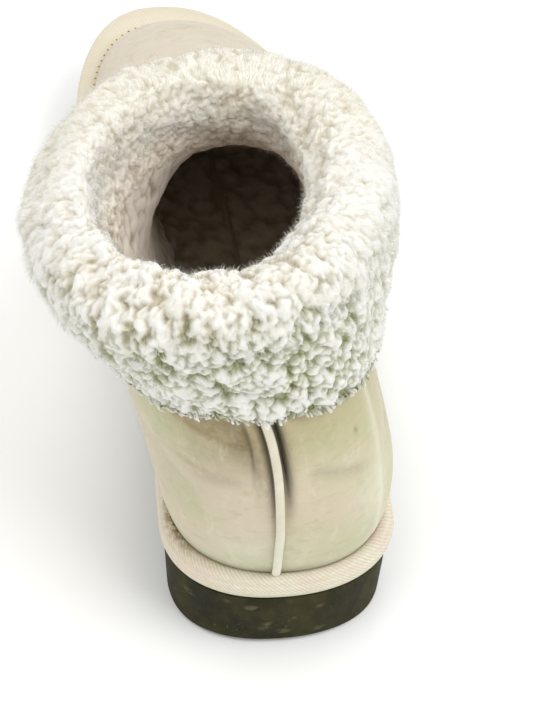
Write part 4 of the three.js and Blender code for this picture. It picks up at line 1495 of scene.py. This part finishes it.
@dataclass
class Upper:
    """Hollow suede upper with its folds, side seams and back piping.

    Sizes are in millimetres. A pair is where something starts and where it is full: foot, vamp and shaded
    are heights over the floor, and toe_from is the way from the heel. Folds that start over the hidden
    height have no end there. The piping runs from a level of the upper to a depth under the collar.
    """

    wall: Wall
    thick: float = 2.4
    around: int = 420
    rows: int = 124
    inner_rows: int = 18
    hidden: float = 103
    foot: tuple[float, float] = (30, 44)
    vamp: tuple[float, float] = (34, 50)
    toe_from: tuple[float, float] = (150, 205)
    # Heights where the painted shade under the cuff's fringe starts and where it is full.
    shaded: tuple[float, float] = (72, 100)
    seams: tuple[float, float] = (34, -80)
    seam_width: float = 1.7
    seam_rise: float = 0.45
    seam_middle: float = 80
    seam_slant: float = 0.08
    seam_paler: float = 0.45
    crease_middle: float = -6
    crease_half: float = 26
    crease_bow: float = 5
    crease_sway: float = 2
    crease_wave: float = 9
    piping_width: float = 2.6
    piping_rise: float = 1.5
    piping_low: float = -2.0
    piping_sway: float = -0.8
    piping_ends: tuple[float, float] = (0.1 * 1.08, 36 * 0.98)
    piping_rings: int = 70
    piping_sides: int = 16

    def relief(self, off: np.ndarray, height: np.ndarray) -> tuple[np.ndarray, np.ndarray]:
        """Adds up the folds.

        Args:
            off: millimetres round from the back seam, outer side positive.
            height: millimetres over the floor.

        Returns:
            How far the suede stands out, and how much painted shade its creases take.
        """
        lift, dark = np.zeros_like(off), np.zeros_like(off)
        for fold in FOLDS:
            start, span = fold.start, np.array(fold.end) - np.array(fold.start)
            t = ((off - start[0]) * span[0] + (height - start[1]) * span[1]) / (span @ span)
            near = np.clip(t, 0, 1)
            away = np.hypot(off - start[0] - near * span[0], height - start[1] - near * span[1])
            shape = np.exp(-((away / fold.width) ** 2))
            if start[1] > self.hidden:
                shape = shape * ease(1, 1 - fold.ends * 2, near)
            else:
                shape = shape * ease(0, fold.ends, near) * ease(1, 1 - fold.ends, near)
            lift += shape * fold.depth
            dark = np.maximum(dark, shape ** 1.1 * fold.dark)
        return lift, dark

    def flexed(self, face: np.ndarray) -> np.ndarray:
        """Tells how far the bowed flex creases over the forefoot stand out on the upper's face.

        Args:
            face: the face's points.

        Returns:
            The heights in millimetres, negative in a crease.
        """
        x, s, z = face[..., 0], face[..., 1], face[..., 2]
        lift = np.zeros(x.shape)
        for at, width, depth in FLEX_CREASES:
            bow = s - at + ((x - self.crease_middle) / self.crease_half) ** 2 * self.crease_bow
            bow = bow + self.crease_sway * np.sin(x / self.crease_wave + at)
            lift += depth * np.exp(-((bow / width) ** 2)) * ease(*self.vamp, z)
        return lift

    def build(self) -> bpy.types.Object:
        """Builds and dresses the hollow shell."""
        turn = turns(self.around)
        outer, facing = self.wall.read(np.linspace(0, 1, self.rows)[:, None], turn[None])
        height = outer[..., 2]
        step = steps_around(outer)
        walked = np.concatenate([np.zeros((self.rows, 1)), np.cumsum(step, 1)[:, :-1]], 1)
        whole = step.sum(1, keepdims=True)
        off = np.where(walked > whole / 2, walked - whole, walked)
        lift, dark = self.relief(off, height)
        lift = lift + self.flexed(outer)
        low = ease(*self.foot, height)
        slant = (height - self.seam_middle) * self.seam_slant
        sewn = [off - self.seams[0] - slant, off - self.seams[1] + slant]
        seam = sum(np.exp(-((away / self.seam_width) ** 2)) for away in sewn)
        shell = outer + facing * (lift * low + seam * self.seam_rise * low)[..., None]
        inside, inward = self.wall.read(np.linspace(1, 0, self.inner_rows)[:, None], turn[None])
        inside = inside - inward * self.thick
        marks = {tint: np.clip(sum(c.over(off, height) for c in CLOUDS if c.tint == tint), 0, 1)
                 for tint in ("brown", "sage", "rose", "pale")}
        marks |= {
            # crease carries the painted shade in the folds' troughs.
            "toe": ease(*self.toe_from, outer[..., 1]), "crease": dark * low,
            # shade carries the painted shade under the cuff's fringe.
            "shade": ease(*self.shaded, height) * 0.9, "seam": seam * low * self.seam_paler,
        }
        points = np.concatenate([shell.reshape(-1, 3), inside.reshape(-1, 3)])
        fill = np.zeros(inside.shape[0] * inside.shape[1])
        piece = Piece("upper_suede", points, grid_faces(self.rows + self.inner_rows, self.around, True), {
            name: np.concatenate([share.ravel(), fill]) for name, share in marks.items()
        }).build(Suede().material())
        return dress(piece, Slot.SUEDE, "upper")

    def piping(self) -> bpy.types.Object:
        """Builds and dresses the piping that covers the back seam."""
        rings, sides = self.piping_rings, self.piping_sides
        start, depth = self.piping_ends
        end = float(self.wall.place_at_depth(np.array([depth]))[0])
        place = np.linspace(start, end, rings)
        t = (place - start) / (end - start)
        around = steps_around(self.wall.grid).sum(1).mean()
        off = mix(self.piping_low, 0, t) + self.piping_sway * np.sin(math.pi * t)
        middle, facing = self.wall.read(place, off / around)
        side = unit(np.cross(facing, np.gradient(middle, axis=0)))
        side = side * np.sign(side[:, :1])
        angle = turns(sides) * FULL_TURN
        flat = np.sign(np.cos(angle)) * np.abs(np.cos(angle)) ** 0.9 * self.piping_width / 2
        high = LAST.gap + self.piping_rise * (0.5 + 0.5 * np.sin(angle))
        closing = np.minimum(1, np.minimum(t, 1 - t) * 40 + 0.25)[:, None]
        ring = middle[:, None] + side[:, None] * (flat[None] * closing)[..., None]
        ring = ring + facing[:, None] * (high[None] * (0.4 + 0.6 * closing))[..., None]
        points = np.concatenate([ring.reshape(-1, 3), middle[:1] + facing[:1], middle[-1:] + facing[-1:]])
        base, top = rings * sides, rings * sides + 1
        last = base - sides
        faces = grid_faces(rings, sides)
        faces += [[base, (j + 1) % sides, j] for j in range(sides)]
        faces += [[top, last + j, last + (j + 1) % sides] for j in range(sides)]
        finish = Suede("piping_suede", srgb(226, 224, 204), srgb(212, 216, 190), srgb(228, 220, 204))
        marks = {"seam": np.full(len(points), self.seam_paler)}
        piece = Piece("seam_piping", points, faces, marks).build(finish.material())
        turn_out(piece)
        return dress(piece, Slot.BAND, "heel_piping")


def turn_out(piece: bpy.types.Object) -> None:
    """Turns a closed piece's faces outwards.

    Args:
        piece: the finished object.
    """
    work = bmesh.new()
    work.from_mesh(piece.data)
    bmesh.ops.recalc_face_normals(work, faces=work.faces)
    work.to_mesh(piece.data)
    work.free()


@dataclass
class Lining:
    """Matted fleece on the insole and down the walls; sizes in millimetres.

    The insole's steps are how far its edge stands in, and shares of its height.
    """

    wall: Wall
    thick: float = 2.4
    pile: float = 4.6
    clump: float = 4.2
    insole_steps: tuple = ((0.9, 0), (0, 0.25), (0, 0.6), (0.4, 0.9), (1.4, 1.0))
    insole_high: float = 4
    insole_gap: float = 0.5
    insole_relief: float = 1.4
    insole_lobes: tuple[float, float] = (0.6, 0.9)
    insole_span: tuple[float, float] = (0.05, 0.97)
    insole_around: int = 240
    insole_rows: int = 28
    insole_seed: int = 9
    side_start: float = 0.05
    side_depth: float = 20
    side_gap: float = 0.15
    side_relief: float = 1.2
    side_lobes: tuple[float, float] = (0.55, 0.85)
    side_pull: float = 0.3
    side_around: int = 330
    side_rows: int = 100
    side_seed: int = 5

    def insole(self) -> bpy.types.Object:
        """Builds and dresses the fleece-topped insole."""
        around, rows = self.insole_around, self.insole_rows
        rings = []
        for inset, rise in self.insole_steps:
            loop, facing = self.wall.read(np.full(around, 0.012 + 0.03 * rise), turns(around))
            at = np.clip(loop[:, 1] / LAST.length, 0, 1)
            ring = loop - unit(facing * np.array([1, 1, 0])) * (self.thick + self.insole_gap + inset)
            ring[:, 2] = LAST.top(at) + LAST.gap + rise * self.insole_high
            rings.append(ring)
        top = rings[-1]
        spine = mix(top, np.roll(top[::-1], 1, 0), 0.5)
        spine[:, 1] = top[:, 1]
        share = np.linspace(*self.insole_span, rows)[:, None]
        pile = mix(top[None], spine[None], share[..., None])
        pile[..., 2] = LAST.top(np.clip(pile[..., 1] / LAST.length, 0, 1)) + LAST.gap + self.insole_high
        rng = np.random.default_rng(self.insole_seed)
        seeds = scattered(pile, self.clump, rng)
        spots, sizes = pile.reshape(-1, 3), rng.uniform(*self.insole_lobes, len(seeds)) * self.clump
        dome = lobed(spots, spots * 0, seeds, sizes, np.zeros(len(spots)))[1].reshape(rows, around)
        pile[..., 2] += dome * self.insole_relief * ease(0, 0.12, share)
        points = np.concatenate([*rings, pile.reshape(-1, 3)])
        last = len(points) - around
        faces = grid_faces(len(rings) + rows, around)
        faces += [list(range(last, last + around)), list(range(around - 1, -1, -1))]
        # deep paints shade on the insole's edge and in the hollows between its lobes.
        deep = np.concatenate([np.ones(len(rings) * around), (0.75 + 0.7 * ease(1, 0.3, dome)).ravel()])
        piece = Piece("insole_fleece", points, faces, {"deep": deep, "inside": np.ones(len(points))})
        return dress(piece.build(Fleece("insole_fleece").material()), Slot.FLEECE, "insole")

    def sides(self) -> bpy.types.Object:
        """Builds and dresses the matted fleece that lines the upper."""
        around, rows = self.side_around, self.side_rows
        end = float(self.wall.place_at_depth(np.array([self.side_depth]))[0])
        base, facing = self.wall.read(np.linspace(self.side_start, end, rows)[:, None], turns(around)[None])
        outer = (base - facing * (self.thick + self.side_gap))[:: rows // 6]
        skin = base - facing * (self.thick + self.pile)
        rng = np.random.default_rng(self.side_seed)
        seeds = scattered(skin, self.clump, rng)
        flow = unit(-np.gradient(skin, axis=0).reshape(-1, 3))
        spots, sizes = skin.reshape(-1, 3), rng.uniform(*self.side_lobes, len(seeds)) * self.clump
        pull = np.full(len(spots), self.side_pull)
        dome = lobed(spots, flow, seeds, sizes, pull)[1].reshape(rows, around)
        inner = skin - facing * (dome * self.side_relief)[..., None]
        points = np.concatenate([outer.reshape(-1, 3), inner[::-1].reshape(-1, 3)])
        # deep paints half shade on the side against the upper, and shade in the hollows between the lobes.
        deep = np.concatenate([np.full(len(outer) * around, 0.5), ease(1, 0.2, dome[::-1]).ravel() * 1.2])
        piece = Piece("lining_fleece", points, grid_faces(len(outer) + rows, around, True), {
            "deep": deep, "inside": np.ones(len(points)),
        })
        return dress(piece.build(Fleece("lining_fleece").material()), Slot.FLEECE)


@dataclass
class Cuff:
    """Fleece cuff turned down over the shaft: strips of pelt, their loose hairs and a fringe of locks.

    The section runs from the hem over the crown into the boot. Its steps are shares of the pile's height,
    negative inside the boot, and of the drop, negative over the rim. Lobes are the least and the greatest
    radius as shares of their pitch, a level is the height at which a lobe stands on the pelt's smooth base,
    and softer gives its share of the rise behind the heel and at the sides. Sizes are in millimetres.
    """

    wall: Wall
    thick: float = 2.4
    drop: float = 36
    side_drop: float = 10
    pile: float = 11.5
    liner_drop: float = 32
    liner_pile: float = 8
    liner_thinner: float = 0.4
    section: tuple = (
        (0.1, 1.04), (0.24, 1), (0.42, 0.82), (0.68, 0.6), (0.96, 0.36), (1.1, 0.1), (0.96, -0.2),
        (0.46, -0.54), (-0.1, -0.64), (-0.72, -0.46), (-1.14, 0), (-1.24, 0.3), (-1.2, 0.64), (-0.9, 0.94),
    )
    crown_step: int = 8
    around: int = 920
    rows: int = 250
    uv_around: float = 400
    clump: float = 4.3
    clump_lobes: tuple[float, float] = (0.52, 0.84)
    clump_rise: float = 2.3
    clump_level: float = 0.82
    clump_lean: float = 0.45
    clump_softer: tuple[float, float] = (0.8, 0.36)
    curl: float = 2.1
    curl_lobes: tuple[float, float] = (0.5, 0.82)
    curl_rise: float = 1.15
    curl_level: float = 0.55
    curl_softer: tuple[float, float] = (0.85, 0.55)
    grain_rise: float = 0.14
    swell_rise: float = 0.45
    underside: float = 1.5
    strips: tuple = (("outer", 0.72), ("crown", 0.76), ("inside", 1.3))
    hem_share: float = 0.045
    lock_step: float = 1.25
    hem_hair_step: float = 0.6
    most: float = 5.0e6
    seed: int = 7
    lock_seed: int = 100
    hair_seed: int = 300

    def __post_init__(self) -> None:
        """Lays the pelt over the collar, raises its fleece and mixes its finish."""
        control = np.stack([self.ring(*pair) for pair in self.section])
        at = np.linspace(0, len(control) - 1, 900)
        walked = walked_along(steps_between(through(control, at)).mean(1))
        self.down = np.linspace(0, walked[-1], self.rows)
        self.base = through(control, np.interp(self.down, walked, at))
        self.facing = normals_of(self.base)
        self.flow = unit(-np.gradient(self.base, axis=0))
        self.share = np.repeat((self.down / walked[-1])[:, None], self.around, 1)
        self.crown = float(np.interp(self.crown_step, at, walked)) / walked[-1]
        # The share inside the boot, where the fleece takes its painted shade colours.
        self.inside = ease(self.crown + 0.1, self.crown + 0.3, self.share)
        self.pelt, self.marks = self.raised()
        self.finish = Fleece("fleece_pelt").material()

    def ring(self, out: float, down: float) -> np.ndarray:
        """Places one ring of the section round the collar.

        Args:
            out: share of the pile's height, negative inside the boot.
            down: share of the drop, negative over the rim.

        Returns:
            The ring's points in millimetres.
        """
        turn = turns(self.around)
        if out >= 0:
            depth = max(down, 0) * (self.drop + self.side_drop * np.sin(FULL_TURN * turn) ** 2)
            away = np.full(self.around, out * self.pile)
        else:
            depth = max(down, 0) * np.full(self.around, self.liner_drop)
            opened = 1 - self.liner_thinner * ease(0.3, 0.5, turn) * ease(0.98, 0.85, turn)
            away = out * self.liner_pile * opened - self.thick
        base, facing = self.wall.read(self.wall.place_at_depth(depth), turn)
        ring = base + facing * away[:, None]
        ring[:, 2] -= min(down, 0) * self.pile
        return ring

    def humped(self, place: float, width: float) -> np.ndarray:
        """Rises to 1 at a share of the way that is counted from the crown, and falls again."""
        return np.exp(-(((self.share - self.crown - place) / width) ** 2))

    def raised(self) -> tuple[np.ndarray, dict[str, np.ndarray]]:
        """Raises clumps of fleece, with curls on them, softer at the sides and on the far roll.

        Returns:
            The pelt's points, and what each of them carries.
        """
        w, crown, inside, shape = self.share, self.crown, self.inside, self.share.shape
        rng = np.random.default_rng(self.seed)
        flat, way = self.base.reshape(-1, 3), self.flow.reshape(-1, 3)
        wobble = 0.7 * np.sin(flat[:, [1, 2, 0]] * 1.1 + 1.7) + 0.45 * np.sin(flat[:, [2, 0, 1]] * 2.3)
        pull = (0.2 + 0.42 * self.humped(-0.12, 0.16)).ravel()
        clumps, curls = scattered(self.base, self.clump, rng), scattered(self.base, self.curl, rng)
        sizes = rng.uniform(*self.clump_lobes, len(clumps)) * self.clump
        owner, dome = lobed(flat + wobble, way, clumps, sizes, pull)
        tilt = rng.uniform(0, FULL_TURN, len(clumps))[owner].reshape(shape)[..., None]
        sizes = rng.uniform(*self.curl_lobes, len(curls)) * self.curl
        knob = lobed(flat + wobble * 0.5, way, curls, sizes, pull * 0.7)[1]
        x, y, z = flat.T
        grain = np.sin(x * 5.1 + wobble[:, 1] * 3) * np.sin(y * 4.7) * np.sin(z * 5.3)
        swell = np.sin(x * 0.31 + 1) * np.sin(y * 0.27 + 2) + np.sin(z * 0.4 + x * 0.17)
        dome, knob, grain, swell = (part.reshape(shape) for part in (dome, knob, grain, swell))
        turn = FULL_TURN * turns(self.around)
        beside = (np.sin(turn) ** 2)[None] * ease(crown * 0.1, crown * 0.5, w) * (1 - inside)
        far = ease(0.1, -0.6, np.cos(turn))[None] * np.ones(shape)
        soft = np.maximum(beside, far)
        lumps = self.clump_rise * mix(*self.clump_softer, soft)
        bumps = self.curl_rise * mix(*self.curl_softer, soft)
        rise = (dome - self.clump_level) * lumps + (knob * (0.4 + 0.6 * dome) - self.curl_level) * bumps
        rise = rise + grain * self.grain_rise + swell * self.swell_rise
        calm = mix(1.0, 0.8, inside) * ease(0, 0.03, w) * ease(1, 0.97, w)
        pelt = self.base + self.facing * (rise * calm)[..., None]
        pelt = pelt + self.flow * (dome * lumps * self.clump_lean * calm)[..., None]
        chance = np.cross(self.facing, self.flow) * np.cos(tilt) + self.flow * np.sin(tilt)
        hold = (0.45 + 0.4 * self.humped(-0.1, 0.13) + 0.4 * ease(0.08, 0.0, w))[..., None]
        # deep is the painted shade in the hollows between the lobes and curls, weaker at the sides and on
        # the far roll.
        deep = ease(0.98, 0.3, dome) * 0.8 + ease(0.95, 0.3, knob) * 0.55
        return pelt, {
            "deep": np.clip(deep * mix(1, 0.35, np.maximum(beside, far * 0.7)), 0, 1),
            "inside": inside, "warm": ease(40, 100, self.base[..., 1]) * (1 - inside),
            "low": ease(crown * 0.95, crown * 0.6, w),
            "size": mix(1.0, 0.75, ease(crown * 0.75, crown * 0.4, w)),
            "lean": (self.flow * hold + chance * (1 - hold)) * ROW_TURN,
        }

    def build(self) -> list[bpy.types.Object]:
        """Builds and dresses the strips of pelt, their hairs and the fringe."""
        made = []
        ends = [round(share * (self.rows - 1)) for share in (0, self.crown * 0.58, self.crown + 0.15, 1)]
        for number, (name, step) in enumerate(self.strips):
            part = slice(ends[number], ends[number + 1] + 1)
            made.append(self.strip(name, part))
            made.append(self.grown(name + "_hairs", part, step, self.hairs(name), number))
        hem = slice(0, int(self.hem_share * self.rows))
        made.append(self.grown("fringe", hem, self.lock_step, self.locks("fringe"), 3))
        made.append(self.grown("fringe_hairs", hem, self.hem_hair_step, self.hairs("fringe"), 4, 1.05))
        return made

    def strip(self, name: str, part: slice) -> bpy.types.Object:
        """Builds and dresses one strip of the pelt, closed by a smooth underside.

        Args:
            name: the strip's name.
            part: its rows of the pelt.

        Returns:
            The dressed piece.
        """
        rows = part.stop - part.start
        order = np.arange(part.start, part.stop)
        order = np.concatenate([order, order[[rows - 1, rows * 2 // 3, rows // 3, 0]]])
        under = order[rows:]
        skin = np.concatenate([self.pelt[part], self.base[under] - self.facing[under] * self.underside])
        down, round_it = np.meshgrid(self.down, turns(self.around) * self.uv_around, indexing="ij")
        uv = np.stack([round_it[order].ravel(), down[order].ravel()], 1)
        marks = {key: value[order].ravel() for key, value in self.marks.items() if value.ndim == 2}
        ends = [range(self.around), range((rows - 1) * self.around, rows * self.around)]
        faces = grid_faces(len(order), self.around, True)
        piece = Piece("cuff_pelt_" + name, skin.reshape(-1, 3), faces, marks, uv, 0, ends)
        return dress(piece.build(self.finish), Slot.FLEECE, "cuff")

    def grown(self, name: str, part: slice, step: float, shapes: Sequence[bpy.types.Object], number: int,
              scale: float = 1) -> bpy.types.Object:
        """Grows locks or hairs on some rows of the pelt.

        Args:
            name: what grows there.
            part: the rows.
            step: how far apart the roots stand at least, in millimetres.
            shapes: the locks or hairs to choose from.
            number: a number for the seed.
            scale: the shapes' scale.

        Returns:
            The dressed piece.
        """
        marks = {key: value[part].reshape(-1, *value.shape[2:]) for key, value in self.marks.items()}
        pelt = self.pelt[part]
        carrier = Piece(name + "_carrier", pelt.reshape(-1, 3), grid_faces(*pelt.shape[:2]), marks).build()
        sizes = {"Spacing": step * MM, "Most": self.most, "Scale": scale}
        sower = Sower("cuff_" + name, sizes, self.seed + number * 5).over_surface(shapes)
        return dress(sower.grown("cuff_" + name, carrier, self.finish), Slot.FLEECE)

    def locks(self, name: str) -> list[bpy.types.Object]:
        """Makes the locks to choose from.

        Args:
            name: the start of their names.

        Returns:
            The shapes.
        """
        rng = np.random.default_rng(self.lock_seed)
        spans = {"reach": (3.6, 6.4), "rise": (0.4, 1.2), "sway": (-1.0, 1.0), "thick": (0.45, 0.8),
                 "slim": (0.6, 0.9), "droop": (0.6, 0.8)}
        return [
            Lock(**{size: rng.uniform(*span) for size, span in spans.items()}, seed=i).shape(f"{name}_{i}")
            for i in range(8)
        ]

    def hairs(self, name: str) -> list[bpy.types.Object]:
        """Makes the hairs to choose from, their names starting with the given one."""
        rng = np.random.default_rng(self.hair_seed)
        return [
            Hair(rng.uniform(0.9, 1.8), rng.uniform(0.6, 2.0)).shape(f"{name}_hair_{i}") for i in range(6)
        ]


@dataclass(frozen=True)
class Lamp:
    """One large soft lamp; place, aim and width in metres, power in watts."""

    name: str
    place: tuple[float, float, float]
    aim: tuple[float, float, float]
    width: float
    power: float

    def hang(self) -> None:
        """Hangs the lamp."""
        data = bpy.data.lights.new(self.name, "AREA")
        data.size, data.energy = self.width, self.power
        made = shown(self.name, data)
        made.location = self.place
        ahead = Vector(self.aim) - Vector(self.place)
        made.rotation_euler = ahead.to_track_quat("-Z", "Y").to_euler()


@dataclass(frozen=True)
class Studio:
    """Pale floor, soft lamps and the camera at the photograph's angle.

    The eye stands in millimetres from the back seam's foot, and the film and lens are a camera's. Angles
    are in degrees, and the camera's reach and the floor's half width in metres.
    """

    eye: tuple[float, float, float] = (63.2, 431, 579)
    yaw: float = 7.58
    pitch: float = 46.18
    roll: float = 3.2
    lens: float = 118.2
    film: float = 36
    reach: tuple[float, float] = (0.01, 50)
    lamps: tuple[Lamp, ...] = (
        Lamp("key", (-0.75, 0.55, 1.15), (0, 0.02, 0.05), 0.9, 10),
        Lamp("fill", (0.95, 0.7, 0.75), (0, 0.02, 0.05), 1.1, 4),
        Lamp("top", (0.1, -0.35, 1.35), (0, 0.0, 0.05), 1.2, 8),
    )
    sky: float = 0.62
    floor: float = 6.0
    paper: tuple = (srgb(250, 250, 249), srgb(246, 246, 244))

    def camera(self) -> None:
        """Sets up the camera."""
        data = bpy.data.cameras.new("photo_view")
        data.lens, data.sensor_width = self.lens, self.film
        data.clip_start, data.clip_end = self.reach
        yaw, pitch, roll = (math.radians(a) for a in (self.yaw, self.pitch, self.roll))
        level = math.cos(pitch)
        ahead = Vector((-math.sin(yaw) * level, -math.cos(yaw) * level, -math.sin(pitch)))
        right = Vector((-math.cos(yaw), math.sin(yaw), 0))
        up = right.cross(ahead)
        cos, sin = math.cos(roll), math.sin(roll)
        place = Matrix((cos * right + sin * up, -sin * right + cos * up, -ahead)).transposed().to_4x4()
        place.translation = Vector((SEAM_X + self.eye[0], HEEL_Y + self.eye[1], self.eye[2])) * MM
        made = shown("photo_view", data)
        made.matrix_world = place
        bpy.context.scene.camera = made

    def ground(self) -> None:
        p = Paint("floor_paper")
        tone = p.blend(p.noise(p.object, 3, 2) * 0.3, *self.paper)
        grain = p.raised(p.noise(p.object, 900, 2), 0.1, 0.0001)
        r = self.floor
        corners = np.array([(-r, -r, 0), (r, -r, 0), (r, r, 0), (-r, r, 0)])
        mesh = bare_mesh("floor", corners, [(0, 1, 2, 3)], soft=False)
        mesh.materials.append(p.finish(Base_Color=tone, Roughness=0.9, Normal=grain))
        floor = shown("floor", mesh)

    def build(self) -> None:
        """Sets up camera, lamps, sky and floor."""
        self.camera()
        bpy.context.scene.view_settings.view_transform = "Standard"
        for lamp in self.lamps:
            lamp.hang()
        world = bpy.data.worlds.new("studio")
        world.use_nodes = True
        sky = world.node_tree.nodes["Background"]
        sky.inputs["Color"].default_value = (1, 1, 1, 1)
        sky.inputs["Strength"].default_value = self.sky
        bpy.context.scene.world = world
        self.ground()


def main() -> None:
    """Builds the studio and every sub-assembly, and reports them."""
    logging.basicConfig(level=logging.INFO, format="%(message)s")
    Studio().build()
    wall = Wall()
    Outsole().build()
    Band().build()
    upper = Upper(wall)
    upper.build()
    upper.piping()
    lining = Lining(wall)
    lining.insole()
    lining.sides()
    Cuff(wall).build()


if __name__ == "__main__":
    main()
